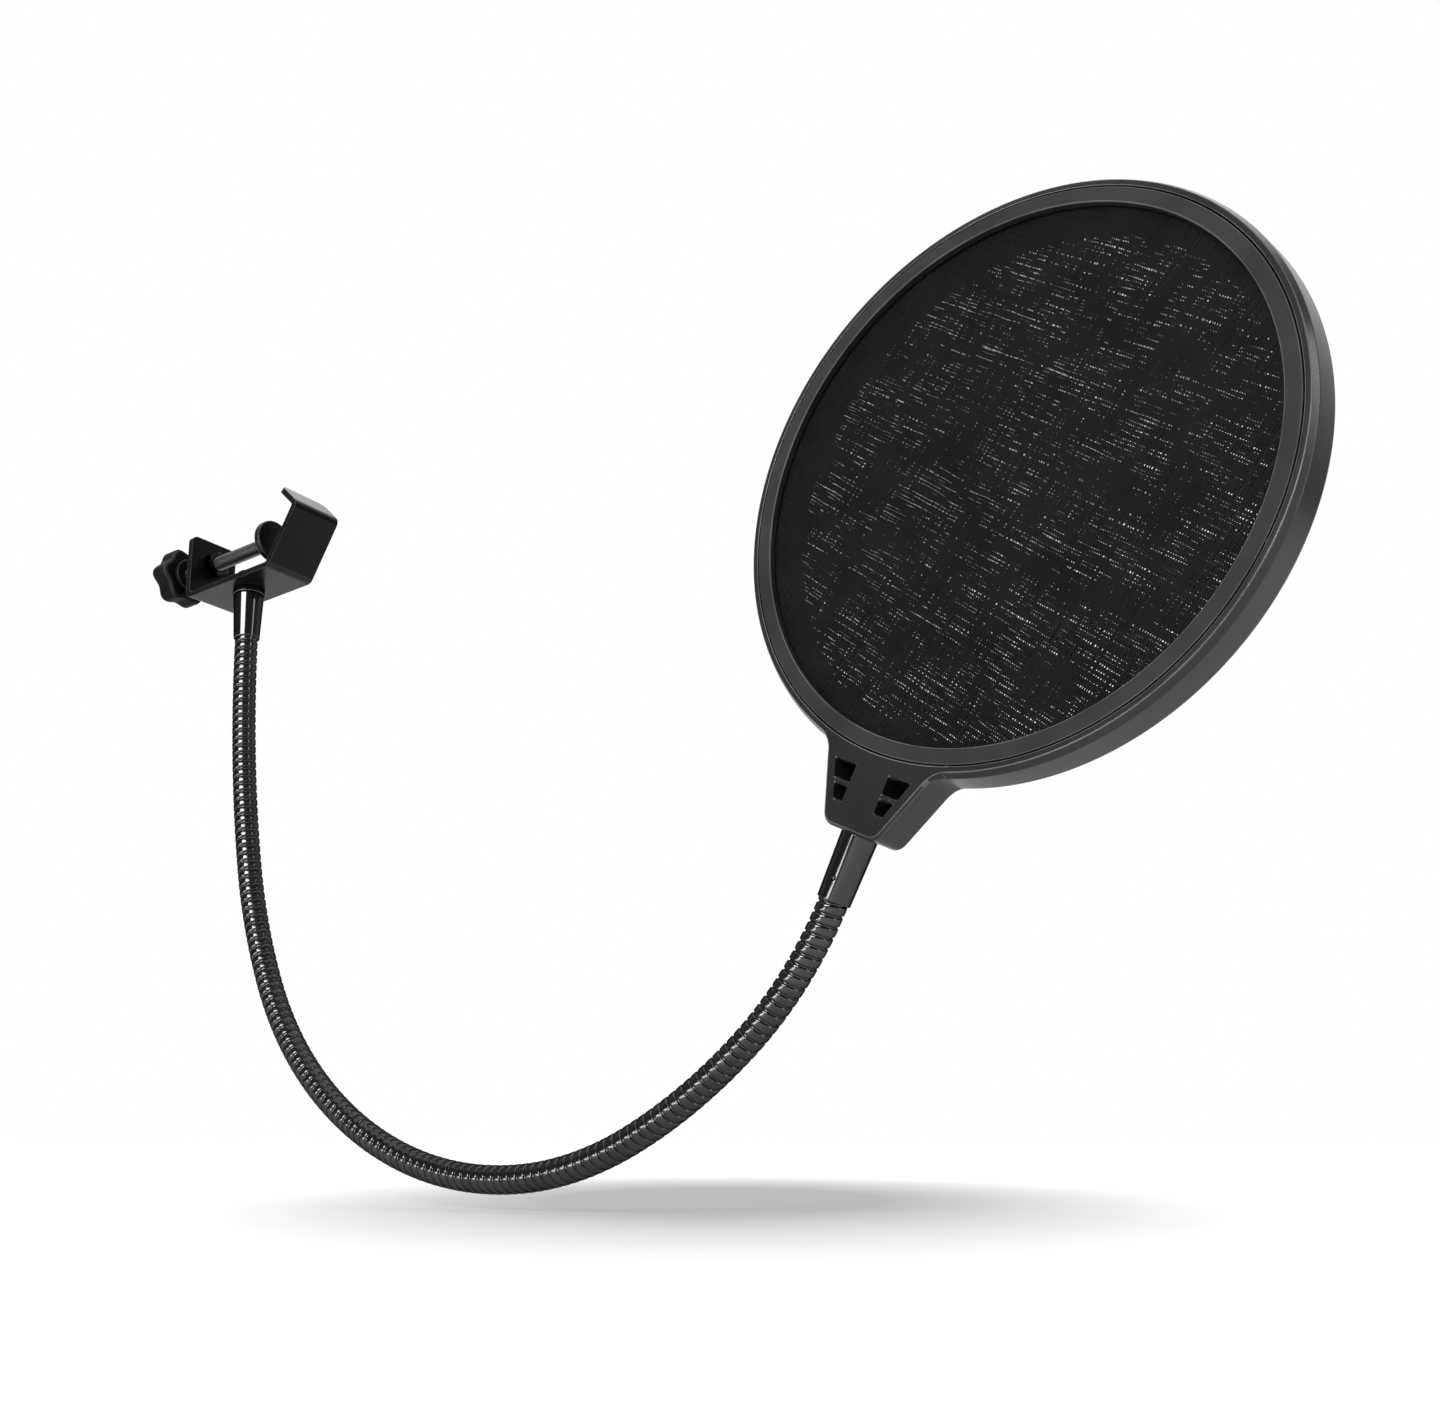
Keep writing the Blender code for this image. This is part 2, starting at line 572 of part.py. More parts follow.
def main():
    """Build the pop filter from the clamp to the head."""
    for old in list(bpy.data.objects):
        bpy.data.objects.remove(old, do_unlink=True)
    plastic = finish("moulded black plastic", (0.022, 0.022, 0.023), 0.55)
    nylon = finish("black nylon mesh", (0.016, 0.016, 0.017), 0.8)
    steel = finish("black gooseneck steel", (0.03, 0.03, 0.032), 0.28, 0.9)
    plated = finish("black plated steel", (0.035, 0.035, 0.037), 0.25, 0.9)
    bright = finish("bare steel", (0.35, 0.35, 0.36), 0.4, 1.0)
    painted = finish("black painted steel", (0.02, 0.02, 0.021), 0.42)

    corners = jaw_corners()
    wall_x = corners[0][0]
    ferrule_x = corners[2][0] - FERRULE_INSET
    clamp = joint_frame("clamp", None, Matrix())
    make_bracket(clamp, painted, corners, ferrule_x)
    down = Matrix.Translation((ferrule_x, 0, BASE_Z)) @ Matrix.Rotation(pi, 4, "Y")
    neck_start = make_lower_joint(clamp, down, plated)

    axis = Matrix.Translation((0, 0, THUMB_Z)) @ Matrix.Rotation(pi / 2, 4, "Y")
    make_clamp_nut(clamp, plated, axis, wall_x)
    travel = joint_frame("pad_travel", clamp, axis)
    make_pad(travel, plated)
    turn = joint_frame("screw_turn", travel, Matrix())
    make_thumb_screw(turn, bright, plastic, wall_x)

    root = joint_frame("neck_root", clamp, down @ Matrix.Translation((0, 0, neck_start)))
    neck_end = make_neck(root, steel)
    make_upper_joint(neck_end, plated)
    stem = UPPER_FERRULE_LENGTH + SEAT + TAIL_REACH
    facing = Matrix.Rotation(-HEAD_TWIST, 4, "Z") @ Matrix.Rotation(pi / 2, 4, "X")
    head = joint_frame("head", neck_end, Matrix.Translation((0, 0, stem)) @ facing)
    make_frame_shell(head, plastic)
    make_screen(head, plastic, nylon)


main()
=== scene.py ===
"""Looks of a pop filter: a two-layer mesh screen on a ribbed gooseneck with a screw clamp.

The origin lies on the axis of the stand pole that the clamp grips. +Y runs along
the pole, +X from the thumb screw towards the jaw, and +Z up along the lower ferrule.
All sizes are in metres.
"""

import json
import logging
import random
from dataclasses import dataclass, field
from enum import Enum
from math import asin, atan2, ceil, cos, floor, pi, radians, sin, sqrt, tan

import bmesh
import bpy
from mathutils import Matrix, Vector, noise

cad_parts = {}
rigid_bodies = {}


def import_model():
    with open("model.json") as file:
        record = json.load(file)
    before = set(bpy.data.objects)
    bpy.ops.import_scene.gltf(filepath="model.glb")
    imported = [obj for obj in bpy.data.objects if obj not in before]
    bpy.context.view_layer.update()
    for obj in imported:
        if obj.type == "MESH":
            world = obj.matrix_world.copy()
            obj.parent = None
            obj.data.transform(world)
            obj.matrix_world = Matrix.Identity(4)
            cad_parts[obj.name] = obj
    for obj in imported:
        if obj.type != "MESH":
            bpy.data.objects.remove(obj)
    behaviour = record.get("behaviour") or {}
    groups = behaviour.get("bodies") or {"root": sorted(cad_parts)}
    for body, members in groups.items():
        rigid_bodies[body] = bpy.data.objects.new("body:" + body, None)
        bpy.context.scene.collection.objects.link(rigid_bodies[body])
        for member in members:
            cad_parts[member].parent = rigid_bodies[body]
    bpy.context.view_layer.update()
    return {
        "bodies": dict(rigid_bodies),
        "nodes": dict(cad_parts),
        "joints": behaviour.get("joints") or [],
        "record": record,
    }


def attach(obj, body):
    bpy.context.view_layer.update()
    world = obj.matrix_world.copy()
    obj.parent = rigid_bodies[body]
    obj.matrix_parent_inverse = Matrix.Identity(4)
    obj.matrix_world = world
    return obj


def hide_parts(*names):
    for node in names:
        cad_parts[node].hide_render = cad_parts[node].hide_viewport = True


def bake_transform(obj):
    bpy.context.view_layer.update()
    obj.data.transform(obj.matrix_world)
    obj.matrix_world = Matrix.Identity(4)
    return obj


LOG = logging.getLogger("pop_filter")

Colour = tuple[float, float, float]
Point = tuple[float, float]
Corner = tuple[float, float, float]
Place = tuple[float, float, float]
Shape = bmesh.types.BMesh
Socket = bpy.types.NodeSocket

SEAT = 0.0003
CLOSED = 0.00028
MERGE = 0.000002
SMOOTH_ANGLE = radians(38)
SHARP_ANGLE = radians(50)
# Narrow rounded outer edges are marked and lightened: partly wear, partly a painted edge highlight.
WORN_HIGHLIT_EDGES = "worn_highlit_edges"
WORN_HIGHLIT_EDGES_WIDTH = 0.00026
WORN_HIGHLIT_EDGES_ANGLE = radians(12)
PATCH_SPAN = (0.35, 0.65)
WEAR_HIGHLIGHT_SPAN = (0.35, 0.6)
GRAIN_SPAN = (0.3, 0.7)
FAINT_WEAR_HIGHLIGHT = 0.4
FINE_DETAIL = 3.0
BROAD_DETAIL = 5.0
MIX_FIRST = 6
MIX_SECOND = 7
MIX_RESULT = 2
FACING_UP = 0.9
IMAGE_WIDTH = 1440


class Body(str, Enum):
    """The bodies that carry the rigid pieces."""

    CLAMP = "clamp_body"
    PAD = "pad_body"
    SCREW = "screw_body"
    HEAD = "head_body"


class Slot(str, Enum):
    """The record's material slots."""

    PAINTED = "painted_steel"
    PLATED = "plated_steel"
    BARE = "bare_steel"
    GOOSENECK = "gooseneck_steel"
    PLASTIC = "moulded_plastic"
    NYLON = "nylon_mesh"


class Combine(str, Enum):
    """How a tool shape changes a base shape."""

    JOIN = "UNION"
    CUT = "DIFFERENCE"


class Nodes:
    """Adds linked nodes to the tree of one material or world."""

    def __init__(self, tree: bpy.types.NodeTree) -> None:
        """Work on one tree."""
        self.tree = tree

    def node(self, kind: str, **settings: str) -> bpy.types.Node:
        """Add a node.

        Args:
            kind: The node's type, without its common first part.
            settings: Choices to set on it.

        Returns:
            The node.
        """
        made = self.tree.nodes.new(f"ShaderNode{kind}")
        for name, value in settings.items():
            setattr(made, name, value)
        return made

    def link(self, source: Socket, target: Socket) -> None:
        """Lead one socket into another."""
        self.tree.links.new(source, target)

    def math(self, operation: str, first: Socket, second: Socket) -> Socket:
        """Work out one value from two.

        Args:
            operation: How the values are put together.
            first: The first value.
            second: The second value.

        Returns:
            The result.
        """
        made = self.node("Math", operation=operation)
        self.link(first, made.inputs[0])
        self.link(second, made.inputs[1])
        return made.outputs[0]

    def scaled(self, colour: Socket, *scales: Socket) -> Socket:
        """Multiply a colour by some values.

        Args:
            colour: The colour.
            scales: The values.

        Returns:
            The scaled colour.
        """
        for scale in scales:
            product = self.node("VectorMath", operation="SCALE")
            self.link(colour, product.inputs[0])
            self.link(scale, product.inputs["Scale"])
            colour = product.outputs[0]
        return colour

    def speckle(self, place: Socket, scale: float, detail: float) -> Socket:
        """Add a noise pattern.

        Args:
            place: The coordinates that the pattern lies on.
            scale: Grains per metre.
            detail: Octaves of finer noise.

        Returns:
            The pattern's value.
        """
        pattern = self.node("TexNoise")
        pattern.inputs["Scale"].default_value = scale
        pattern.inputs["Detail"].default_value = detail
        self.link(place, pattern.inputs["Vector"])
        return pattern.outputs["Fac"]

    def spread(self, value: Socket, low: float, high: float, out_low: float,
               out_high: float) -> Socket:
        """Spread a value from one span to another, clamped.

        Args:
            value: The value to spread.
            low: Where the first span starts.
            high: Where the first span ends.
            out_low: Where the second span starts.
            out_high: Where the second span ends.

        Returns:
            The spread value.
        """
        made = self.node("MapRange")
        ends = {"From Min": low, "From Max": high, "To Min": out_low, "To Max": out_high}
        for name, end in ends.items():
            made.inputs[name].default_value = end
        self.link(value, made.inputs["Value"])
        return made.outputs["Result"]

    def blend(self, share: Socket, first: Colour | Socket, second: Colour) -> Socket:
        """Blend two colours by a share.

        Args:
            share: How far the second colour shows.
            first: The first colour, or a socket that gives it.
            second: The second colour.

        Returns:
            The blended colour.
        """
        made = self.node("Mix", data_type="RGBA")
        self.link(share, made.inputs[0])
        if isinstance(first, tuple):
            made.inputs[MIX_FIRST].default_value = (*first, 1.0)
        else:
            self.link(first, made.inputs[MIX_FIRST])
        made.inputs[MIX_SECOND].default_value = (*second, 1.0)
        return made.outputs[MIX_RESULT]


@dataclass(frozen=True)
class Finish:
    """A surface finish: two mottled colours, a span of gloss, fine relief, and rounded edges
    lightened partly by wear and partly by a painted edge highlight.

    Attributes:
        grain: Fine grains per metre.
        mottle: Broad patches per metre.
        relief: Height of the fine grain.
        stretch: How the grain is drawn out along each axis.
        worn_highlit_colour: Colour that the marked rounded edges tend to, partly wear and partly a
            painted edge highlight, and wear_and_highlight how far they go there.
        rim: How brightly the surface shines where it turns away from the eye.
    """

    name: str
    slot: Slot
    colour: Colour
    patch: Colour
    rough_low: float
    rough_high: float
    metallic: float = 0.0
    specular: float = 0.5
    grain: float = 2500.0
    mottle: float = 60.0
    relief: float = 0.00003
    bump: float = 0.3
    stretch: Place = (1.0, 1.0, 1.0)
    worn_highlit_colour: Colour = (0.2, 0.2, 0.2)
    wear_and_highlight: float = 0.0
    rim: float = 1.0

    def material(self) -> bpy.types.Material:
        """Build the node material of this finish.

        Returns:
            The new material.
        """
        made = bpy.data.materials.new(self.name)
        made.use_nodes = True
        nodes = Nodes(made.node_tree)
        shader = made.node_tree.nodes["Principled BSDF"]
        levels = {"Metallic": self.metallic, "Specular IOR Level": self.specular,
                  "Specular Tint": (self.rim, self.rim, self.rim, 1)}
        for name, level in levels.items():
            shader.inputs[name].default_value = level
        drawn = nodes.node("Mapping")
        drawn.inputs["Scale"].default_value = self.stretch
        nodes.link(nodes.node("TexCoord").outputs["Object"], drawn.inputs["Vector"])
        fine = nodes.speckle(drawn.outputs["Vector"], self.grain, FINE_DETAIL)
        broad = nodes.speckle(drawn.outputs["Vector"], self.mottle, BROAD_DETAIL)
        tone = nodes.blend(nodes.spread(broad, *PATCH_SPAN, 0.0, 1.0), self.colour, self.patch)
        # Painted edge highlight and wear: the marked rounded edges are lightened towards a paler
        # colour, by a share that varies at random.
        edges = nodes.node("Attribute", attribute_name=WORN_HIGHLIT_EDGES)
        wear_and_highlight_strength = nodes.spread(broad, *WEAR_HIGHLIGHT_SPAN, FAINT_WEAR_HIGHLIGHT * self.wear_and_highlight, self.wear_and_highlight)
        worn_highlit_edges = nodes.math("MULTIPLY", edges.outputs["Fac"], wear_and_highlight_strength)
        nodes.link(nodes.blend(worn_highlit_edges, tone, self.worn_highlit_colour), shader.inputs["Base Color"])
        gloss = nodes.spread(fine, *GRAIN_SPAN, self.rough_low, self.rough_high)
        nodes.link(gloss, shader.inputs["Roughness"])
        relief = nodes.node("Bump")
        relief.inputs["Strength"].default_value = self.bump
        relief.inputs["Distance"].default_value = self.relief
        nodes.link(fine, relief.inputs["Height"])
        nodes.link(relief.outputs["Normal"], shader.inputs["Normal"])
        return made


# Each finish's paler edge colour and share below are partly wear and partly a painted edge
# highlight on the rounded edges.
GLOSS_MOULDING = Finish("glossy black moulding", Slot.PLASTIC, (0.011, 0.011, 0.0113),
                        (0.015, 0.015, 0.0154), 0.20, 0.28, specular=0.35, grain=3200, mottle=45,
                        relief=0.00002, bump=0.15, worn_highlit_colour=(0.14, 0.14, 0.14), wear_and_highlight=0.8)
MATT_MOULDING = Finish("matt black moulding", Slot.PLASTIC, (0.024, 0.024, 0.0247),
                       (0.033, 0.033, 0.0339), 0.42, 0.56, specular=0.05, grain=3400, mottle=55,
                       relief=0.00003, bump=0.4, worn_highlit_colour=(0.12, 0.12, 0.12), wear_and_highlight=0.8)
KNOB_PLASTIC = Finish("knob plastic", Slot.PLASTIC, (0.004, 0.004, 0.0042),
                      (0.007, 0.007, 0.0073), 0.38, 0.50, specular=0.04, grain=2600, mottle=120,
                      relief=0.00003, bump=0.35, worn_highlit_colour=(0.06, 0.06, 0.06), wear_and_highlight=0.5)
POWDER_COAT = Finish("powder-coated steel", Slot.PAINTED, (0.004, 0.004, 0.0042),
                     (0.0065, 0.0065, 0.0067), 0.20, 0.28, specular=0.12, grain=1700, mottle=90,
                     relief=0.00002, bump=0.15, worn_highlit_colour=(0.06, 0.06, 0.06), wear_and_highlight=0.8)
BLACK_PLATING = Finish("black plated steel", Slot.PLATED, (0.042, 0.042, 0.043),
                       (0.052, 0.052, 0.0532), 0.07, 0.11, metallic=1.0, rim=0.3, grain=2200,
                       mottle=150, relief=0.00001, bump=0.02, stretch=(1.0, 1.0, 0.12),
                       worn_highlit_colour=(0.10, 0.10, 0.10), wear_and_highlight=0.6)
SPRING_STEEL = Finish("black gooseneck steel", Slot.GOOSENECK, (0.050, 0.050, 0.0512),
                      (0.062, 0.062, 0.0633), 0.12, 0.17, metallic=1.0, rim=0.3, grain=2600,
                      mottle=220, relief=0.00001, bump=0.02)
BARE_STEEL = Finish("bare thread steel", Slot.BARE, (0.08, 0.08, 0.0825), (0.13, 0.13, 0.1335),
                    0.30, 0.44, metallic=1.0, grain=2400, mottle=300, relief=0.00001, bump=0.25,
                    stretch=(0.15, 1.0, 1.0), worn_highlit_colour=(0.22, 0.22, 0.225), wear_and_highlight=0.5)
WOVEN_NYLON = Finish("black woven nylon", Slot.NYLON, (0.0045, 0.0045, 0.0047),
                     (0.0075, 0.0075, 0.0078), 0.50, 0.66, specular=0.06, grain=6000, mottle=80,
                     relief=0.00002, bump=0.3)


class Workshop:
    """Makes shapes, turns them into dressed pieces and remembers each finish's material."""

    def __init__(self) -> None:
        """Start with no materials made."""
        self.materials: dict[str, bpy.types.Material] = {}

    def material(self, finish: Finish) -> bpy.types.Material:
        """The material of a finish, made on first use.

        Args:
            finish: The finish.

        Returns:
            Its material.
        """
        if finish.name not in self.materials:
            self.materials[finish.name] = finish.material()
        return self.materials[finish.name]

    def add(self, name: str, bm: Shape, body: str | None, finish: Finish, *nodes: str,
            place: Matrix | None = None) -> bpy.types.Object:
        """Turn a shape into a piece of the object.

        Args:
            name: The piece's name.
            bm: The shape, which is used up.
            body: The body that carries it, or None for a piece that no body carries.
            finish: The finish that it gets.
            nodes: The solids that it stands for.
            place: Where the shape goes.

        Returns:
            The new object.
        """
        if place is not None:
            bmesh.ops.transform(bm, matrix=place, verts=bm.verts)
        # The narrow rounded edges are marked for lightening: partly wear, partly a painted edge
        # highlight.
        if finish.wear_and_highlight:
            self.mark_worn_highlit_edges(bm)
        mesh = bpy.data.meshes.new(name)
        bm.to_mesh(mesh)
        bm.free()
        mesh.shade_smooth()
        mesh.set_sharp_from_angle(angle=SMOOTH_ANGLE)
        mesh.materials.append(self.material(finish))
        made = bpy.data.objects.new(name, mesh)
        bpy.context.scene.collection.objects.link(made)
        if body:
            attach(made, body)
            even = made.modifiers.new("flat faces", "WEIGHTED_NORMAL")
            even.keep_sharp = True
        if nodes:
            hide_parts(*nodes)
        LOG.info("%s: %d faces", name, len(mesh.polygons))
        return made

    def dress(self, solid: bpy.types.Object, finish: Finish) -> None:
        """Give a solid that stays in view its finish.

        Args:
            solid: The solid.
            finish: The finish that it gets.
        """
        solid.data.materials.clear()
        solid.data.materials.append(self.material(finish))
        LOG.info("%s: kept, %s", solid.name, finish.name)

    @staticmethod
    def mark_worn_highlit_edges(bm: Shape) -> None:
        """Mark the narrow faces of rounded outer edges, which are lightened: partly wear, where
        they rub first, and partly a painted edge highlight.

        Args:
            bm: The shape.
        """
        mark = bm.faces.layers.float.new(WORN_HIGHLIT_EDGES)
        for face in bm.faces:
            width = 2 * face.calc_area() / face.calc_perimeter()
            turns = [edge.calc_face_angle_signed(0.0) for edge in face.edges]
            face[mark] = float(width < WORN_HIGHLIT_EDGES_WIDTH and max(turns) > WORN_HIGHLIT_EDGES_ANGLE)

    @staticmethod
    def tidied(bm: Shape) -> Shape:
        """Close a shape's seams and point its faces outwards.

        Args:
            bm: The shape.

        Returns:
            The same shape.
        """
        bmesh.ops.remove_doubles(bm, verts=bm.verts, dist=MERGE)
        bmesh.ops.recalc_face_normals(bm, faces=bm.faces)
        return bm

    @staticmethod
    def outlined(bm: Shape, corners: list[Corner], segments: int) -> None:
        """Draw a closed outline in the XZ plane, with rounded corners.

        Args:
            bm: An empty shape.
            corners: Across, up and how far each corner is rounded.
            segments: Edges in each rounding.
        """
        points = [bm.verts.new((across, 0, up)) for across, up, _ in corners]
        bm.faces.new(points)
        for size in sorted({corner[2] for corner in corners if corner[2] > 0}):
            chosen = [point for point, corner in zip(points, corners) if corner[2] == size]
            bmesh.ops.bevel(bm, geom=chosen, offset=size, segments=segments, profile=0.5,
                            affect="VERTICES", material=-1)
        bmesh.ops.delete(bm, geom=bm.faces[:], context="FACES_ONLY")

    def spun(self, corners: list[Corner], steps: int = 64, segments: int = 3) -> Shape:
        """Turn a rounded outline about Z.

        Args:
            corners: Radius, height and rounding of each corner.
            steps: Sides of the turned shape.
            segments: Edges in each rounding.

        Returns:
            The closed shape.
        """
        bm = bmesh.new()
        self.outlined(bm, corners, segments)
        on_axis = [edge for edge in bm.edges if all(v.co.x < MERGE for v in edge.verts)]
        bmesh.ops.delete(bm, geom=on_axis, context="EDGES")
        bmesh.ops.spin(bm, geom=bm.verts[:] + bm.edges[:], cent=(0, 0, 0), axis=(0, 0, 1),
                       angle=2 * pi, steps=steps, use_merge=True)
        return self.tidied(bm)

    def rod(self, radius: float, low: float, high: float, steps: int = 48,
            rounding: float = 0.0) -> Shape:
        """Make a plain rod along Z.

        Args:
            radius: The rod's radius.
            low: Height of its foot.
            high: Height of its top.
            steps: Sides of the rod.
            rounding: How far the top's edge is rounded.

        Returns:
            The closed shape.
        """
        return self.spun([(0, low, 0), (radius, low, 0), (radius, high, rounding), (0, high, 0)],
                         steps)

    def wound(self, ridge: list[Point], pitch: float, length: float, sides: int) -> Shape:
        """Wind a ridge about Z from height zero, cut square at both ends.

        Args:
            ridge: Radius and share of the pitch of each point across one ridge.
            pitch: Height of one turn.
            length: Height of the whole winding.
            sides: Steps in one turn.

        Returns:
            The closed shape.
        """
        bm = bmesh.new()
        points = [bm.verts.new((radius, 0, (share - 1) * pitch)) for radius, share in ridge]
        edges = [bm.edges.new(pair) for pair in zip(points, points[1:])]
        turns = ceil(length / pitch) + 1
        bmesh.ops.spin(bm, geom=points + edges, cent=(0, 0, 0), axis=(0, 0, 1),
                       dvec=(0, 0, pitch / sides), angle=2 * pi * turns, steps=sides * turns)
        bmesh.ops.remove_doubles(bm, verts=bm.verts, dist=MERGE)
        self.cut_square(bm, (0.0, True), (length, False))
        return bm

    @staticmethod
    def cut_square(bm: Shape, *cuts: tuple[float, bool]) -> None:
        """Cut a shape square across Z, and close the cuts.

        Args:
            bm: The shape.
            cuts: Each cut's height, and whether what lies below it goes.
        """
        for height, below in cuts:
            bmesh.ops.bisect_plane(bm, geom=bm.verts[:] + bm.edges[:] + bm.faces[:], dist=MERGE / 4,
                                   plane_co=(0, 0, height), plane_no=(0, 0, 1),
                                   clear_inner=below, clear_outer=not below)
        rims = [edge for edge in bm.edges if edge.is_boundary]
        bmesh.ops.holes_fill(bm, edges=rims, sides=0)
        bmesh.ops.recalc_face_normals(bm, faces=bm.faces)

    @staticmethod
    def merge(base: Shape, part: Shape) -> None:
        """Lay a second shape into the first.

        Args:
            base: The shape that takes in the other.
            part: The other shape, which is used up.
        """
        scratch = bpy.data.meshes.new("bench")
        part.to_mesh(scratch)
        part.free()
        base.from_mesh(scratch)
        bpy.data.meshes.remove(scratch)

    @staticmethod
    def extruded(bm: Shape, faces: list[bmesh.types.BMFace]) -> list[bmesh.types.BMVert]:
        """Extrude some faces in place.

        Args:
            bm: The shape.
            faces: The faces.

        Returns:
            The new points, which are still to be moved.
        """
        grown = bmesh.ops.extrude_face_region(bm, geom=faces)["geom"]
        return [item for item in grown if isinstance(item, bmesh.types.BMVert)]

    def prism(self, outline: list[Point], low: float, high: float) -> Shape:
        """Raise a flat outline into a prism.

        Args:
            outline: The outline's (x, y) points.
            low: Height of the foot.
            high: Height of the top.

        Returns:
            The closed shape.
        """
        bm = bmesh.new()
        face = bm.faces.new([bm.verts.new((x, y, low)) for x, y in outline])
        bmesh.ops.translate(bm, verts=self.extruded(bm, [face]), vec=(0, 0, high - low))
        bmesh.ops.recalc_face_normals(bm, faces=bm.faces)
        return bm

    @staticmethod
    def lofted(levels: list[list[Corner]]) -> tuple[Shape, list[list[bmesh.types.BMVert]]]:
        """Raise an outline through levels of equal length.

        Args:
            levels: The points of each level, from low to high.

        Returns:
            The closed shape, and the points of each level in it.
        """
        bm = bmesh.new()
        row = [bm.verts.new(point) for point in levels[0]]
        face = bm.faces.new(row)
        rows = [row]
        for level in levels[1:]:
            grown = bmesh.ops.extrude_face_region(bm, geom=[face])["geom"]
            if len(rows) > 1 and face.is_valid:
                bm.faces.remove(face)
            risen = {tuple(item.co): item for item in grown if isinstance(item, bmesh.types.BMVert)}
            row = [risen[tuple(vert.co)] for vert in row]
            for vert, point in zip(row, level):
                vert.co = point
            face = next(item for item in grown if isinstance(item, bmesh.types.BMFace))
            rows.append(row)
        bmesh.ops.recalc_face_normals(bm, faces=bm.faces)
        return bm, rows

    @staticmethod
    def ease(bm: Shape, edges: list[bmesh.types.BMEdge], offset: float,
             segments: int = 2) -> None:
        """Round some edges of a shape."""
        bmesh.ops.bevel(bm, geom=edges, offset=offset, segments=segments, profile=0.5,
                        affect="EDGES", material=-1)

    def combined(self, base: Shape, how: Combine, tool: Shape) -> Shape:
        """Join a tool shape to a base shape, or cut it away.

        Args:
            base: The shape that is changed, which is used up.
            how: Whether the tool is joined or cut.
            tool: The tool shape, which is used up.

        Returns:
            The combined shape.
        """
        objects = []
        for bm in (base, tool):
            mesh = bpy.data.meshes.new("bench")
            bm.to_mesh(mesh)
            bm.free()
            made = bpy.data.objects.new("bench", mesh)
            bpy.context.scene.collection.objects.link(made)
            objects.append(made)
        boolean = objects[0].modifiers.new("combine", "BOOLEAN")
        boolean.operation = how.value
        boolean.solver = "EXACT"
        boolean.object = objects[1]
        result = bmesh.new()
        result.from_object(objects[0], bpy.context.evaluated_depsgraph_get())
        for made in objects:
            mesh = made.data
            bpy.data.objects.remove(made)
            bpy.data.meshes.remove(mesh)
        return self.tidied(result)


def arc(centre: Point, radius: float, start: float, end: float, steps: int) -> list[Point]:
    """Points on a round stretch.

    Args:
        centre: The arc's centre.
        radius: Its radius.
        start: Its first angle.
        end: Its last angle.
        steps: Edges along it.

    Returns:
        The points, from first to last.
    """
    angles = [start + (end - start) * step / steps for step in range(steps + 1)]
    return [(centre[0] + radius * cos(a), centre[1] + radius * sin(a)) for a in angles]


def mirrored(points: list[Point]) -> list[Point]:
    """The same points on the other side of the Y axis, in the opposite order."""
    return [(-x, y) for x, y in reversed(points)]


def rectangle(left: float, right: float, half: float) -> list[Point]:
    """An outline between two places along X, half of it on each side of the axis."""
    return [(left, -half), (right, -half), (right, half), (left, half)]


def rise(edge: bmesh.types.BMEdge) -> float:
    """How far an edge climbs between its ends."""
    return abs(edge.verts[0].co.z - edge.verts[1].co.z)


@dataclass(frozen=True)
class Sleeve:
    """What both ferrules share: the bolt at the wide end and the neck's socket in the mouth."""

    bolt_radius: float = 0.0025
    mouth_radius: float = 0.0043
    mouth_round: float = 0.00035
    socket_radius: float = 0.0036
    socket_depth: float = 0.008
    socket_round: float = 0.0002
    sides: int = 72

    @property
    def hole(self) -> float:
        """Radius of the bolt's hole."""
        return self.bolt_radius + SEAT

    def section(self, wide: float, low: float, high: float, foot_round: float) -> list[Corner]:
        """The section of a tapered ferrule, wide at its low end and bored at its high end.

        Args:
            wide: Radius at the low end.
            low: Height of the low end.
            high: Height of the high end.
            foot_round: How far the low end's edge is rounded.

        Returns:
            The section's corners.
        """
        shoulder = high - self.socket_depth - SEAT
        return [(self.hole, low, 0), (wide, low, foot_round),
                (self.mouth_radius, high, self.mouth_round),
                (self.socket_radius, high, self.socket_round),
                (self.socket_radius, shoulder, 0), (self.hole, shoulder, 0)]


@dataclass
class NeckPath:
    """The gooseneck's line: equal stretches that each hang in one arc."""

    stretch: float = 0.0409
    turns: tuple[float, ...] = (5, 5.5, 13, 22.5, 21, 21.5, 23.5, 15.5, 22)
    root: Matrix = field(default_factory=Matrix)

    def __post_init__(self) -> None:
        """Work out the frame at the start of each stretch and at the end."""
        self.frames = [self.root]
        for number in range(len(self.turns)):
            self.frames.append(self.frames[-1] @ self.arc_frame(number, self.stretch))

    @property
    def length(self) -> float:
        """The whole line's length."""
        return self.stretch * len(self.turns)

    def arc_frame(self, number: int, along: float) -> Matrix:
        """The frame part of the way along one stretch, in the frame of its start.

        Args:
            number: The stretch, from zero.
            along: How far along it.

        Returns:
            The frame, whose Z runs along the neck.
        """
        radius = self.stretch / radians(self.turns[number])
        angle = along / radius
        place = (radius * (cos(angle) - 1), 0, radius * sin(angle))
        return Matrix.Translation(place) @ Matrix.Rotation(-angle, 4, "Y")

    def at(self, along: float) -> Matrix:
        """The frame at a distance along the whole line, which is straight past its ends.

        Args:
            along: The distance from the line's start.

        Returns:
            The frame, whose Z runs along the neck.
        """
        if along <= 0:
            return self.root @ Matrix.Translation((0, 0, along))
        if along >= self.length:
            return self.frames[-1] @ Matrix.Translation((0, 0, along - self.length))
        number = min(int(along / self.stretch), len(self.turns) - 1)
        return self.frames[number] @ self.arc_frame(number, along - number * self.stretch)


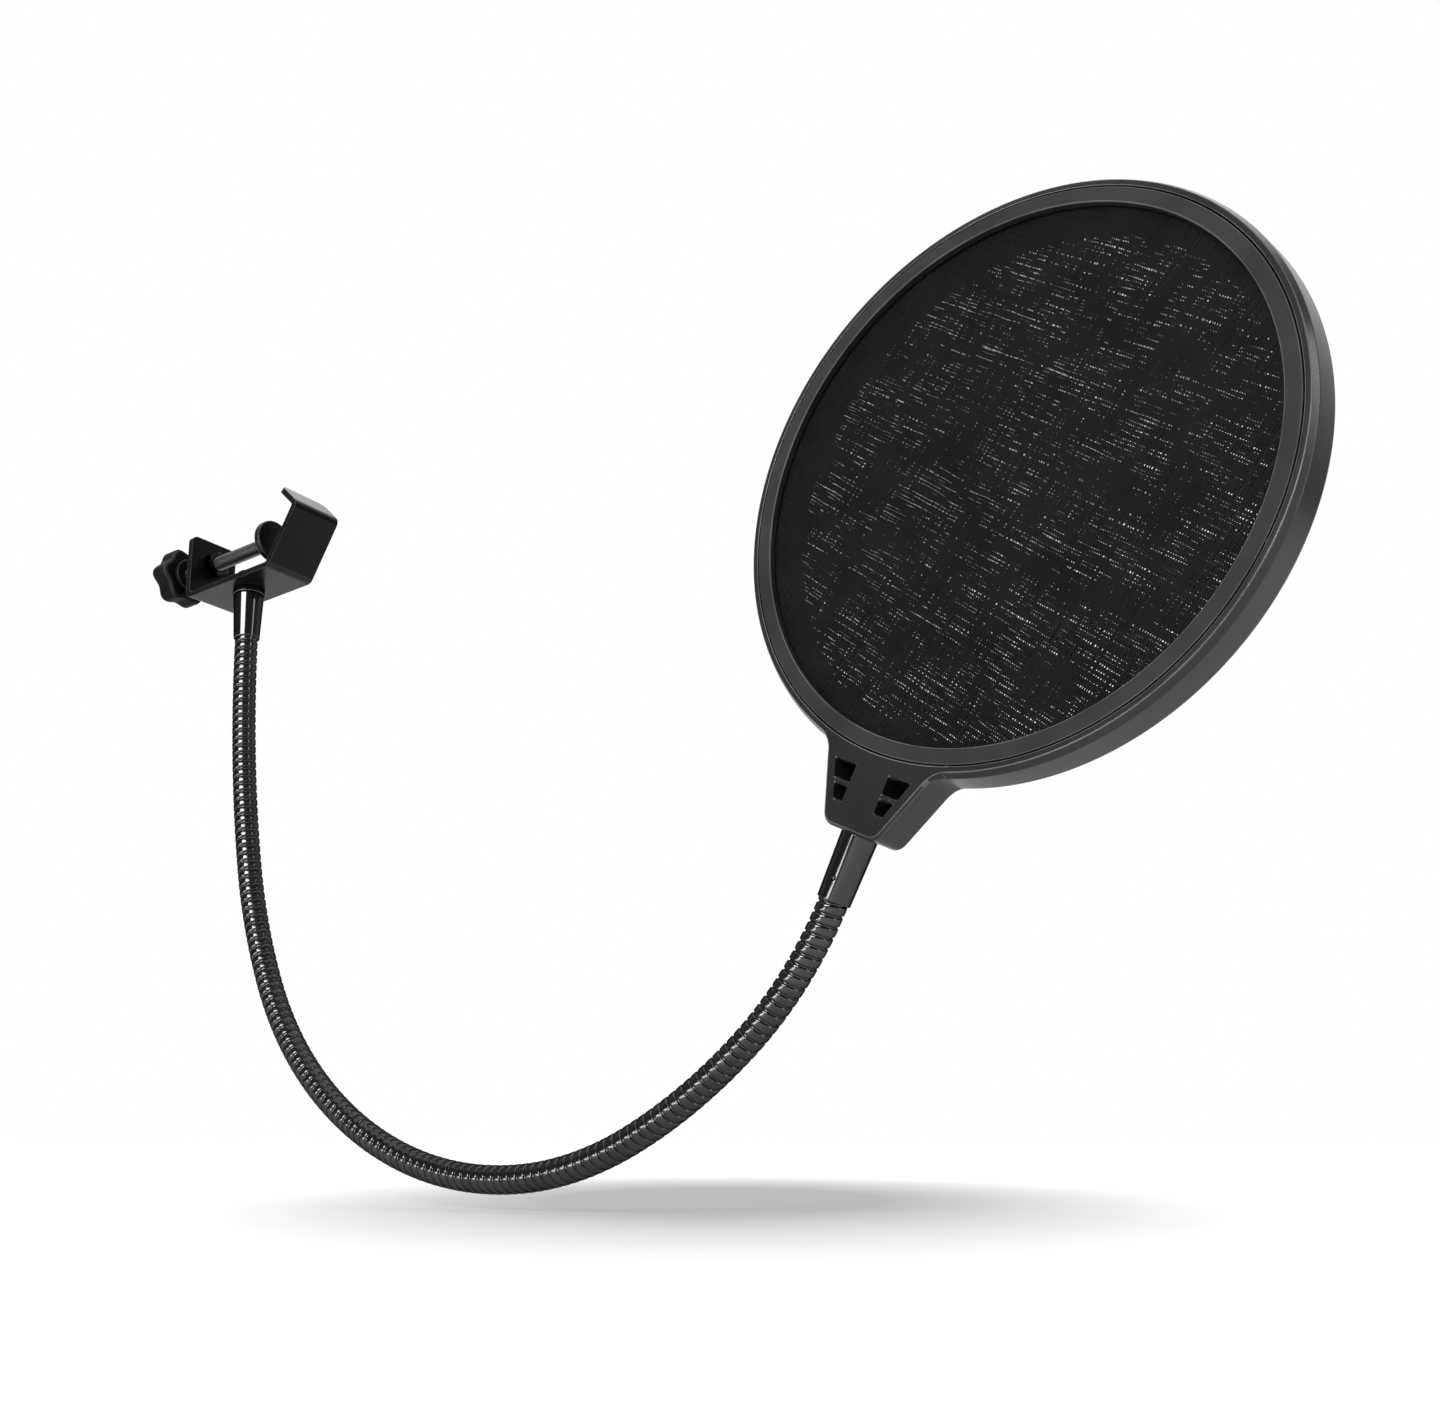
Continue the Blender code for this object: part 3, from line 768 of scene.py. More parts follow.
@dataclass
class Clamp:
    """The bent bracket, its ferrule fastenings, nut, thumb screw, knob and swivel pad."""

    shop: Workshop
    sleeve: Sleeve = Sleeve()
    pole_diameter: float = 0.016
    strip_width: float = 0.0191
    sheet: float = 0.002
    base_length: float = 0.042
    base_z: float = -0.019
    ferrule_inset: float = 0.0203
    wall_height: float = 0.0242
    jaw_lean: float = radians(33.2)
    lip_lean: float = radians(43)
    lip_length: float = 0.0118
    bend_radius: float = 0.003
    end_round: float = 0.0025
    end_steps: int = 8
    strip_edge: float = 0.00015
    thumb_z: float = -0.0037
    thumb_radius: float = 0.0025
    thread_pitch: float = 0.0008
    thread_depth: float = 0.00042
    thread_shares: tuple[float, ...] = (0.12, 0.42, 0.58, 0.88)
    thread_sides: int = 28
    tip_radius: float = 0.0017
    tip_round: float = 0.0004
    nut_width: float = 0.008
    nut_thickness: float = 0.003
    pad_radius: float = 0.0075
    pad_depth: float = 0.005
    pad_face: float = 0.0016
    pad_rim: float = 0.0022
    pad_neck_radius: float = 0.004
    pad_face_round: float = 0.0006
    pad_edge: float = 0.0004
    knob_diameter: float = 0.0208
    knob_lobes: int = 6
    knob_sides: int = 120
    lobe_depth: float = 0.0017
    knob_thickness: float = 0.0072
    knob_standoff: float = 0.0115
    knob_hub_radius: float = 0.006
    knob_hub_length: float = 0.0015
    knob_hub_round: float = 0.0005
    knob_cap: float = 0.002
    knob_edge: float = 0.001
    dish_radius: float = 0.0066
    dish_floor: float = 0.0058
    dish_depth: float = 0.0006
    dish_round: float = 0.0002
    ferrule_length: float = 0.0159
    ferrule_radius: float = 0.0051
    ferrule_round: float = 0.0003
    collar_radius: float = 0.0053
    collar_height: float = 0.0017
    collar_round: float = 0.0003
    washer_radius: float = 0.005
    washer_thickness: float = 0.001
    washer_round: float = 0.0002
    screw_head_radius: float = 0.0045
    screw_head_height: float = 0.003
    screw_head_round: float = 0.0014
    screw_tip_round: float = 0.0004
    screw_edge: float = 0.0001
    slot_half_length: float = 0.0024
    slot_half_width: float = 0.00045
    slot_depth: float = 0.0016
    slot_turns: tuple[float, float] = (pi / 4, 3 * pi / 4)

    def __post_init__(self) -> None:
        """Work out the places that follow from the sizes."""
        self.corners = self.jaw_corners()
        self.wall_x = self.corners[0][0]
        self.ferrule_x = self.corners[2][0] - self.ferrule_inset
        self.axis = Matrix.Translation((0, 0, self.thumb_z)) @ Matrix.Rotation(pi / 2, 4, "Y")
        self.down = (Matrix.Translation((self.ferrule_x, 0, self.base_z))
                     @ Matrix.Rotation(pi, 4, "Y"))
        self.pad_front = -self.pole_diameter / 2 - SEAT
        self.ferrule_low = 2 * SEAT + self.collar_height
        self.ferrule_high = self.ferrule_low + self.ferrule_length

    def neck_root(self) -> Matrix:
        """The frame where the gooseneck starts."""
        return self.down @ Matrix.Translation((0, 0, self.ferrule_high))

    def jaw_corners(self) -> list[Point]:
        """The strip's outside corners, from the top of the upright wall to the lip's edge.

        Returns:
            The corners across X and up Z.
        """
        wall_in = Vector((-cos(self.jaw_lean), sin(self.jaw_lean)))
        lip_in = Vector((-cos(self.lip_lean), -sin(self.lip_lean)))
        reach = self.pole_diameter / 2 + self.sheet
        apex = (wall_in + lip_in) * (-reach / (1 + wall_in.dot(lip_in)))
        foot_x = apex.x - (apex.y - self.base_z) * tan(self.jaw_lean)
        wall_x = foot_x - self.base_length
        edge = apex + Vector((-sin(self.lip_lean), cos(self.lip_lean))) * self.lip_length
        return [(wall_x, self.base_z + self.wall_height), (wall_x, self.base_z),
                (foot_x, self.base_z), tuple(apex), tuple(edge)]

    def strip_outline(self, steps: int = 12) -> tuple[list[Point], list[Point]]:
        """The outside and the inside of the bent strip's section.

        Args:
            steps: Edges round each bend.

        Returns:
            The outside and the inside points, from the upright wall to the lip.
        """
        points = [Vector(corner) for corner in self.corners]
        ways = [(b - a).normalized() for a, b in zip(points, points[1:])]
        insides = [Vector((-way.y, way.x)) for way in ways]
        outer = [tuple(points[0])]
        inner = [tuple(points[0] + insides[0] * self.sheet)]
        for corner, one, two in zip(points[1:], insides, insides[1:]):
            middle = corner + (one + two) * (self.bend_radius / (1 + one.dot(two)))
            start = atan2(-one.y, -one.x)
            sweep = atan2(one.cross(two), one.dot(two))
            outer += arc(middle, self.bend_radius, start, start + sweep, steps)
            inner += arc(middle, self.bend_radius - self.sheet, start, start + sweep, steps)
        outer.append(tuple(points[-1]))
        inner.append(tuple(points[-1] + insides[-1] * self.sheet))
        return outer, inner

    def build_bracket(self) -> None:
        """The strip, with round ends, eased edges and its two holes."""
        outer, inner = self.strip_outline()
        half = self.strip_width / 2
        strip = self.shop.prism(outer + inner[::-1], -half, half)
        ends = [(Vector(outer[side]), Vector(inner[side])) for side in (0, -1)]
        corners = []
        for edge in strip.edges:
            spots = [vert.co.xy for vert in edge.verts]
            at_end = any(all(any((spot - tip).length < MERGE for spot in spots) for tip in end)
                         for end in ends)
            if at_end and rise(edge) < MERGE:
                corners.append(edge)
        self.shop.ease(strip, corners, self.end_round, self.end_steps)
        sharp = [edge for edge in strip.edges if edge.calc_face_angle(0.0) > SHARP_ANGLE]
        self.shop.ease(strip, sharp, self.strip_edge, 2)
        bmesh.ops.transform(strip, matrix=Matrix.Rotation(pi / 2, 4, "X"), verts=strip.verts)
        across = Matrix.Rotation(pi / 2, 4, "Y")
        places = (Matrix.Translation((self.ferrule_x, 0, self.base_z)),
                  Matrix.Translation((self.wall_x, 0, self.thumb_z)) @ across)
        for place in places:
            tool = self.shop.rod(self.sleeve.hole, -self.sheet, 2 * self.sheet)
            bmesh.ops.transform(tool, matrix=place, verts=tool.verts)
            strip = self.shop.combined(strip, Combine.CUT, tool)
        self.shop.add("bracket_strip", strip, Body.CLAMP, POWDER_COAT, "bracket")

    def build_nut(self) -> None:
        """The hexagonal nut inside the upright wall, with its corners turned off."""
        low = self.wall_x + self.sheet + SEAT
        high = low + self.nut_thickness
        corner = self.nut_width / 2 / cos(pi / 6)
        nut = self.shop.prism(arc((0, 0), corner, 0, 5 * pi / 3, 5), low, high)
        chamfer = corner - self.nut_width / 2
        turned = self.shop.spun([(0, low - SEAT, 0), (corner + SEAT, low - SEAT, 0),
                                 (corner + SEAT, high - chamfer / 2, 0),
                                 (self.nut_width / 2, high, 0), (0, high, 0)], steps=60)
        nut = self.shop.combined(nut, Combine.CUT, self.outside_of(turned, low, high, corner))
        hole = self.thumb_radius + SEAT / 2
        bore = self.shop.spun([(0, low - SEAT, 0), (hole, low - SEAT, 0), (hole, high - SEAT, 0),
                               (hole + 2 * SEAT, high + SEAT, 0), (0, high + SEAT, 0)], steps=48)
        nut = self.shop.combined(nut, Combine.CUT, bore)
        self.shop.add("weld_nut", nut, Body.CLAMP, BLACK_PLATING, "clamp_nut", place=self.axis)

    def outside_of(self, turned: Shape, low: float, high: float, corner: float) -> Shape:
        """What a block round the nut leaves outside a turned shape.

        Args:
            turned: The turned shape, which is used up.
            low: Height of the nut's foot.
            high: Height of the nut's top.
            corner: Radius to the nut's corners.

        Returns:
            The shape that takes the nut's corners off.
        """
        wide = 2 * corner
        block = self.shop.prism(rectangle(-wide, wide, wide), low - SEAT / 2,
                                high + self.nut_thickness)
        return self.shop.combined(block, Combine.CUT, turned)

    def build_pad(self) -> None:
        """The swivel pad: a flat face on a cup that the screw's tip turns in."""
        front = self.pad_front
        back = front - self.pad_depth
        socket = self.tip_radius + SEAT
        pad = self.shop.spun([
            (0, front, 0), (self.pad_radius, front, self.pad_face_round),
            (self.pad_radius, front - self.pad_rim, self.pad_edge),
            (self.pad_neck_radius, back, self.pad_edge),
            (socket, back, 0), (socket, front - self.pad_face, 0), (0, front - self.pad_face, 0),
        ], steps=72)
        self.shop.add("swivel_cup", pad, Body.PAD, POWDER_COAT, "swivel_pad", place=self.axis)

    def build_thumb_screw(self) -> None:
        """The threaded rod and the plain tip that it turns in the pad."""
        shoulder = self.pad_front - self.pad_depth - SEAT
        foot = self.wall_x - self.knob_standoff - self.knob_thickness + self.knob_cap + SEAT
        root = self.thumb_radius - self.thread_depth
        radii = (root, root, self.thumb_radius, self.thumb_radius, root, root)
        ridge = list(zip(radii, (0.0, *self.thread_shares, 1.0)))
        rod = self.shop.wound(ridge, self.thread_pitch, shoulder - foot, self.thread_sides)
        bmesh.ops.translate(rod, verts=rod.verts, vec=(0, 0, foot))
        tip_end = self.pad_front - self.pad_face - SEAT
        tip = self.shop.rod(self.tip_radius, shoulder - SEAT, tip_end, steps=40,
                            rounding=self.tip_round)
        self.shop.merge(rod, tip)
        self.shop.add("screw_thread", rod, Body.SCREW, BARE_STEEL, "thumb_screw", place=self.axis)

    def build_knob(self) -> None:
        """The lobed knob, with a dished outer face, a hub and a blind socket."""
        high = self.wall_x - self.knob_standoff
        low = high - self.knob_thickness
        middle = (self.knob_diameter - self.lobe_depth) / 2
        outline = []
        for step in range(self.knob_sides):
            angle = 2 * pi * step / self.knob_sides
            radius = middle + self.lobe_depth / 2 * cos(self.knob_lobes * (angle - pi / 2))
            outline.append((radius * cos(angle), radius * sin(angle)))
        body = self.shop.prism(outline, low, high)
        rims = [edge for edge in body.edges if rise(edge) < MERGE]
        self.shop.ease(body, rims, self.knob_edge, 4)
        hub = self.shop.rod(self.knob_hub_radius, high - self.knob_hub_length,
                            high + self.knob_hub_length, steps=64,
                            rounding=self.knob_hub_round)
        body = self.shop.combined(body, Combine.JOIN, hub)
        bore = self.shop.rod(self.thumb_radius + SEAT, low + self.knob_cap,
                             high + 2 * self.knob_hub_length)
        body = self.shop.combined(body, Combine.CUT, bore)
        dished = low + self.dish_depth
        dish = self.shop.spun([(0, low - SEAT, 0), (self.dish_radius, low - SEAT, 0),
                               (self.dish_floor, dished, self.dish_round), (0, dished, 0)])
        body = self.shop.combined(body, Combine.CUT, dish)
        self.shop.add("lobed_knob", body, Body.SCREW, KNOB_PLASTIC, "knob", place=self.axis)

    def build_ferrule(self) -> None:
        """The lower ferrule, its collar, and the washer and screw above the strip."""
        hole = self.sleeve.hole
        low, high = SEAT, SEAT + self.collar_height
        collar = self.shop.spun([
            (hole, low - CLOSED, 0), (self.collar_radius, low - CLOSED, self.collar_round),
            (self.collar_radius, high, self.collar_round), (hole, high, 0),
        ], self.sleeve.sides)
        section = self.sleeve.section(self.ferrule_radius, self.ferrule_low, self.ferrule_high,
                                      self.ferrule_round)
        sleeve = self.shop.spun(section, self.sleeve.sides)
        washer_low = -self.sheet - SEAT
        washer_high = washer_low - self.washer_thickness
        washer = self.shop.spun([
            (hole, washer_high, self.screw_edge),
            (self.washer_radius, washer_high, self.washer_round),
            (self.washer_radius, washer_low, 0), (hole, washer_low, 0),
        ])
        under = washer_high - SEAT
        top = under - self.screw_head_height
        tip = self.ferrule_high - self.sleeve.socket_depth - 2 * SEAT
        bolt = self.sleeve.bolt_radius
        screw = self.shop.spun([
            (0, top, 0), (self.screw_head_radius, top, self.screw_head_round),
            (self.screw_head_radius, under, self.screw_edge),
            (bolt, under, 0), (bolt, tip, self.screw_tip_round), (0, tip, 0),
        ], segments=5)
        slot = rectangle(-self.slot_half_length, self.slot_half_length, self.slot_half_width)
        for turn in self.slot_turns:
            blade = self.shop.prism(slot, top - SEAT, top + self.slot_depth)
            bmesh.ops.rotate(blade, verts=blade.verts, cent=(0, 0, 0),
                             matrix=Matrix.Rotation(turn, 3, "Z"))
            screw = self.shop.combined(screw, Combine.CUT, blade)
        pieces = (("collar_ring", collar, "ferrule_collar"),
                  ("lower_sleeve", sleeve, "lower_ferrule"),
                  ("plain_washer", washer, "ferrule_washer"), ("pan_screw", screw, "ferrule_screw"))
        for name, shape, node in pieces:
            self.shop.add(name, shape, Body.CLAMP, BLACK_PLATING, node, place=self.down)

    def build(self) -> None:
        """Build the whole clamp."""
        self.build_bracket()
        self.build_nut()
        self.build_pad()
        self.build_thumb_screw()
        self.build_knob()
        self.build_ferrule()


@dataclass
class Gooseneck:
    """The wound neck, bent along its line, in pieces that each span one joint."""

    shop: Workshop
    path: NeckPath
    ridge_radius: float = 0.0038
    root_radius: float = 0.0033
    ribs_per_stretch: int = 15
    sides: int = 32
    spigot: float = 0.008
    spigot_round: float = 0.0004
    reach: float = 0.015
    bent_back: int = 3
    rib_profile: tuple[Point, ...] = ((0.0, 0.0), (0.06, 0.1), (0.13, 0.75), (0.2, 0.94),
                                      (0.35, 0.99), (0.5, 1.0))

    def ridge(self) -> list[Point]:
        """The section of one turn: a flat-backed rib between two narrow grooves.

        Returns:
            Radius and share of the pitch of each point across the rib.
        """
        depth = self.ridge_radius - self.root_radius
        climb = [(self.root_radius + depth * lift, share) for share, lift in self.rib_profile]
        return climb + [(radius, 1 - share) for radius, share in climb[-2::-1]]

    def body(self, number: int) -> str:
        """The body that carries a stretch.

        Args:
            number: The stretch, from one.

        Returns:
            The body's name.
        """
        if number == 1:
            return Body.CLAMP.value
        if number == len(self.path.turns):
            return Body.HEAD.value
        return f"neck_body_{number}"

    def build(self) -> None:
        """Wind the neck, bend it along its line, and cut it into pieces that each span one joint.
        """
        pitch = self.path.stretch / self.ribs_per_stretch
        count = len(self.path.turns)
        for number in range(1, count):
            middle = number * self.path.stretch
            low = middle - self.path.stretch / 2
            high = middle + self.path.stretch / 2
            nodes = [f"neck_segment_{number}"]
            if number == 1:
                low = 0.0
            if number == count - 1:
                high = self.path.length
                nodes.append(f"neck_segment_{count}")
            start = floor(low / pitch) * pitch
            coil = self.shop.wound(self.ridge(), pitch, high - start, self.sides)
            bmesh.ops.translate(coil, verts=coil.verts, vec=(0, 0, start))
            if low - start > MERGE:
                self.shop.cut_square(coil, (low, True))
            self.bend(coil)
            made = self.shop.add(f"neck_coil_{number}", coil, None, SPRING_STEEL, *nodes)
            bodies = [self.body(number), self.body(number + 1)]
            ends = [self.path.at(middle + way * self.reach).translation for way in (-1, 1)]
            # Rounding pulls this piece's far end loose, so its bodies and ends are listed from that
            # end back.
            if number == self.bent_back:
                bodies.reverse()
                ends.reverse()
            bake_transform(made)
        self.build_spigots()

    def bend(self, coil: Shape) -> None:
        """Bend a straight coil along the neck's line."""
        for vert in coil.verts:
            vert.co = self.path.at(vert.co.z) @ Vector((vert.co.x, vert.co.y, 0))

    def build_spigots(self) -> None:
        """The plain ends of the neck inside the two ferrules."""
        whole = self.path.length
        for name, body, low, high in (("lower_spigot", Body.CLAMP, -self.spigot, 0.0),
                                      ("upper_spigot", Body.HEAD, whole, whole + self.spigot)):
            plug = self.shop.spun([(0, low, 0), (self.root_radius, low, self.spigot_round),
                                   (self.root_radius, high, 0), (0, high, 0)], steps=48)
            self.bend(plug)
            self.shop.add(name, plug, body, SPRING_STEEL)


@dataclass
class ScreenHead:
    """The moulded ring with its tail, the bezel, the ferrule below it and the two meshes."""

    shop: Workshop
    neck_end: Matrix
    sleeve: Sleeve = Sleeve()
    radius: float = 0.078
    depth: float = 0.010
    draft: float = 0.0005
    wall: float = 0.003
    lip_chamfer: float = 0.001
    lip_chamfer_depth: float = 0.0019
    back_fillet: float = 0.0008
    back_edge: float = 0.0004
    soft_edge: float = 0.0003
    crisp_edge: float = 0.0002
    flange_thickness: float = 0.0014
    flange_width: float = 0.0111
    bezel_width: float = 0.004
    bezel_thickness: float = 0.0021
    bezel_groove: float = 0.0004
    mesh_thickness: float = 0.0003
    ring_steps: int = 256
    tail_length: float = 0.017
    tail_foot: float = 0.0175
    tail_taper: float = radians(24)
    tail_fillet: float = 0.0075
    tail_corner: float = 0.004
    tail_chamfer: float = 0.0007
    tail_back_share: float = 0.25
    pocket_top: float = 0.001
    pocket_heights: tuple[float, float] = (0.0048, 0.0039)
    pocket_rib: float = 0.0011
    pocket_wall: float = 0.0034
    pocket_floor: float = 0.002
    pocket_round: float = 0.0004
    pocket_flare: float = 0.00025
    boss_width: float = 0.0108
    ferrule_length: float = 0.0167
    ferrule_radius: float = 0.0047
    ferrule_round: float = 0.0001
    crease: float = 0.00013
    nib_turns: tuple[float, float] = (radians(-5), radians(-74.5))
    nib_width: float = 0.0009
    punch_radius: float = 0.0008
    punch_place: float = 0.0055
    stud_grip: float = 0.010
    twist: float = radians(10)
    strand_pitch: float = 0.0007
    rear_pitches: tuple[float, float] = (1.35, 1.04)
    shortest_strand: float = 3.0
    seeds: tuple[int, int] = (11, 23)
    strand_gap: float = 0.00023
    strand_cuts: int = 52
    weave_turn: float = radians(-13)
    layer_turn: float = radians(1.2)
    sway: float = 0.0007
    sway_length: float = 0.024
    wander: tuple[float, float] = (0.0004, 0.00025)
    wander_length: float = 0.0045
    stray: tuple[float, float] = (0.00014, 0.00010)
    noise_span: float = 9.0
    noise_steps: tuple[float, float] = (7.31, 3.7)

    def __post_init__(self) -> None:
        """Work out the places that follow from the sizes."""
        self.front = self.depth / 2
        self.back = -self.depth / 2
        self.lip_radius = self.radius - self.draft - self.lip_chamfer
        self.channel = self.radius - self.wall
        self.bezel_radius = self.channel - self.bezel_groove
        self.front_opening = self.bezel_radius - self.bezel_width
        self.rear_opening = self.radius - self.flange_width
        self.tail_reach = self.radius + self.tail_length
        stem = self.ferrule_length + SEAT + self.tail_reach
        self.place = (self.neck_end @ Matrix.Translation((0, 0, stem))
                      @ Matrix.Rotation(-self.twist, 4, "Z") @ Matrix.Rotation(pi / 2, 4, "X"))

    def tail_side(self, below: float) -> float:
        """Half the tail's width at a distance below the ring's centre."""
        return self.tail_foot / 2 + (self.tail_reach - below) * tan(self.tail_taper)

    def tail_rim(self, steps: int) -> list[tuple[Vector, Vector, float, float]]:
        """The tail's right half, from the ring to the foot.

        Args:
            steps: Edges in each rounding.

        Returns:
            Each point, the way out from it, its share of the ring's draft, and its share of
            the ring's edges: one where the tail leaves the ring, zero down its side.
        """
        root = self.radius - self.draft - SEAT / 3
        along = Vector((sin(self.tail_taper), cos(self.tail_taper)))
        out = Vector((cos(self.tail_taper), -sin(self.tail_taper)))
        foot = Vector((self.tail_foot / 2, -self.tail_reach))
        start = foot + out * self.tail_fillet
        half = start.dot(along)
        spread = sqrt(half * half - start.dot(start) + (root + self.tail_fillet) ** 2)
        climb = -half - spread if half + spread <= 0 else -half + spread
        middle = start + along * climb
        fillet = arc(middle, self.tail_fillet, atan2(-middle.y, -middle.x),
                     atan2(-out.y, -out.x), steps)
        rim = []
        for step, point in enumerate(fillet):
            way = (middle - Vector(point)).normalized()
            rim.append((Vector(point), way, 1.0, 1 - step / steps))
        opening = pi / 2 + self.tail_taper
        bend = Vector((foot.x - self.tail_corner / tan(opening / 2), foot.y + self.tail_corner))
        for point in arc(bend, self.tail_corner, -self.tail_taper, -pi / 2, steps // 2):
            way = (Vector(point) - bend).normalized()
            rim.append((Vector(point), way, max(way.x, 0), 0.0))
        return rim

    def tail_levels(self, steps: int = 20) -> tuple[list[list[Corner]], int]:
        """The tail's outlines from back to front, whose edges blend into the ring's edges.

        Args:
            steps: Edges in each rounding.

        Returns:
            The outlines, and how many points of each lie outside the ring.
        """
        rim = self.tail_rim(steps)
        spread_angle = asin(rim[0][0].x / rim[0][0].length)
        top = arc((0, 0), self.channel + SEAT, -pi / 2 - spread_angle, -pi / 2 + spread_angle,
                  steps)
        levels = []
        for level in range(4):
            right = []
            heights = []
            for point, way, draft, share in rim:
                back = self.back_fillet * max(share, self.tail_back_share)
                depth = self.tail_chamfer + share * (self.lip_chamfer_depth - self.tail_chamfer)
                inset = self.tail_chamfer + share * (self.lip_chamfer - self.tail_chamfer)
                wide = self.draft * draft
                offset = (wide - back, wide, 0, -inset)[level]
                right.append(tuple(point + way * offset))
                heights.append((self.back, self.back + back, self.front - depth, self.front)[level])
            heights += heights[::-1] + [heights[-1]] * len(top)
            outline = right + mirrored(right) + top
            levels.append([(x, y, z) for (x, y), z in zip(outline, heights)])
        return levels, 2 * len(rim)

    def pocket_tools(self) -> Shape:
        """The shape of the four pockets, with round corners.

        Returns:
            The closed shapes, laid into one.
        """
        tools = bmesh.new()
        below = self.radius + self.pocket_top
        for height in self.pocket_heights:
            high, low = below, below + height
            right = [(self.boss_width / 2, -high), (self.boss_width / 2, -low),
                     (self.tail_side(low) - self.pocket_wall, -low),
                     (self.tail_side(high) - self.pocket_wall, -high)]
            for outline in (right, mirrored(right)):
                self.shop.merge(tools, self.pocket(outline))
            below = low + self.pocket_rib
        return tools

    def pocket(self, outline: list[Point]) -> Shape:
        """The shape of one pocket, whose mouth flares.

        Args:
            outline: The pocket's corners.

        Returns:
            The closed shape.
        """
        flare = self.pocket_flare
        pocket = self.shop.prism(outline, self.back + self.pocket_floor, self.front - flare)
        uprights = [edge for edge in pocket.edges if rise(edge) > MERGE]
        self.shop.ease(pocket, uprights, self.pocket_round, 3)
        lid = [face for face in pocket.faces if face.normal.z > FACING_UP]
        risen = self.shop.extruded(pocket, lid)
        bmesh.ops.delete(pocket, geom=lid, context="FACES_ONLY")
        centre = sum((Vector(point) for point in outline), Vector((0, 0))) / len(outline)
        wide = max(abs(x - centre.x) for x, _ in outline)
        tall = max(abs(y - centre.y) for _, y in outline)
        growth = (1 + 2 * flare / wide, 1 + 2 * flare / tall, 1)
        to_centre = Matrix.Translation((-centre.x, -centre.y, 0))
        bmesh.ops.translate(pocket, verts=risen, vec=(0, 0, 2 * flare))
        bmesh.ops.scale(pocket, verts=risen, vec=growth, space=to_centre)
        bmesh.ops.recalc_face_normals(pocket, faces=pocket.faces)
        return pocket

    def build_frame(self) -> None:
        """The outer ring with its back flange and the flared tail."""
        ring = self.shop.spun([
            (self.rear_opening, self.back, self.soft_edge),
            (self.radius - self.back_fillet, self.back, self.soft_edge),
            (self.radius, self.back + self.back_fillet, self.back_edge),
            (self.radius - self.draft, self.front - self.lip_chamfer_depth, self.crisp_edge),
            (self.lip_radius, self.front, self.crisp_edge),
            (self.channel, self.front, self.crisp_edge),
            (self.channel, self.back + self.flange_thickness, 0),
            (self.rear_opening, self.back + self.flange_thickness, self.soft_edge),
        ], self.ring_steps)
        levels, outside = self.tail_levels()
        tail, rows = self.shop.lofted(levels)
        creases = [tail.edges.get((row[here], row[here + 1]))
                   for row in rows[2:] for here in range(outside - 1)]
        self.shop.ease(tail, creases, self.crease, 2)
        shell = self.shop.combined(ring, Combine.JOIN, tail)
        shell = self.shop.combined(shell, Combine.CUT, self.pocket_tools())
        bore = self.shop.rod(self.sleeve.hole, -self.stud_grip, self.stud_grip + SEAT)
        to_stem = Matrix.Translation((0, -self.tail_reach, 0)) @ Matrix.Rotation(-pi / 2, 4, "X")
        bmesh.ops.transform(bore, matrix=to_stem, verts=bore.verts)
        shell = self.shop.combined(shell, Combine.CUT, bore)
        self.shop.add("frame_moulding", shell, Body.HEAD, GLOSS_MOULDING, "frame_shell",
                      place=self.place)

    def build_bezel(self) -> None:
        """The bezel that presses the front mesh into the frame."""
        low = self.front - self.bezel_thickness
        bezel = self.shop.spun([
            (self.front_opening, low, self.soft_edge), (self.bezel_radius, low, self.soft_edge),
            (self.bezel_radius, self.front, self.crisp_edge),
            (self.front_opening, self.front, self.soft_edge),
        ], self.ring_steps)
        outline = rectangle(self.bezel_radius - SEAT, self.channel + SEAT / 3, self.nib_width / 2)
        for turn in self.nib_turns:
            nib = self.shop.prism(outline, self.front - 4 * SEAT, self.front - SEAT)
            bmesh.ops.rotate(nib, verts=nib.verts, cent=(0, 0, 0),
                             matrix=Matrix.Rotation(turn, 3, "Z"))
            bezel = self.shop.combined(bezel, Combine.JOIN, nib)
        self.shop.add("bezel_moulding", bezel, Body.HEAD, MATT_MOULDING, "bezel_ring",
                      place=self.place)

    def build_ferrule(self) -> None:
        """The upper ferrule, with the punch mark that grips the neck."""
        high = self.ferrule_length
        section = self.sleeve.section(self.ferrule_radius, -CLOSED, high, self.ferrule_round)
        sleeve = self.shop.spun(section, self.sleeve.sides)
        punch = bmesh.new()
        bmesh.ops.create_icosphere(punch, subdivisions=4, radius=self.punch_radius)
        beside = self.sleeve.mouth_radius + self.punch_radius / 2
        bmesh.ops.translate(punch, verts=punch.verts, vec=(0, beside, high - self.punch_place))
        sleeve = self.shop.combined(sleeve, Combine.CUT, punch)
        flip = Matrix.Translation((0, 0, high)) @ Matrix.Rotation(pi, 4, "X")
        self.shop.add("upper_sleeve", sleeve, Body.HEAD, BLACK_PLATING, "upper_ferrule",
                      place=self.neck_end @ flip)

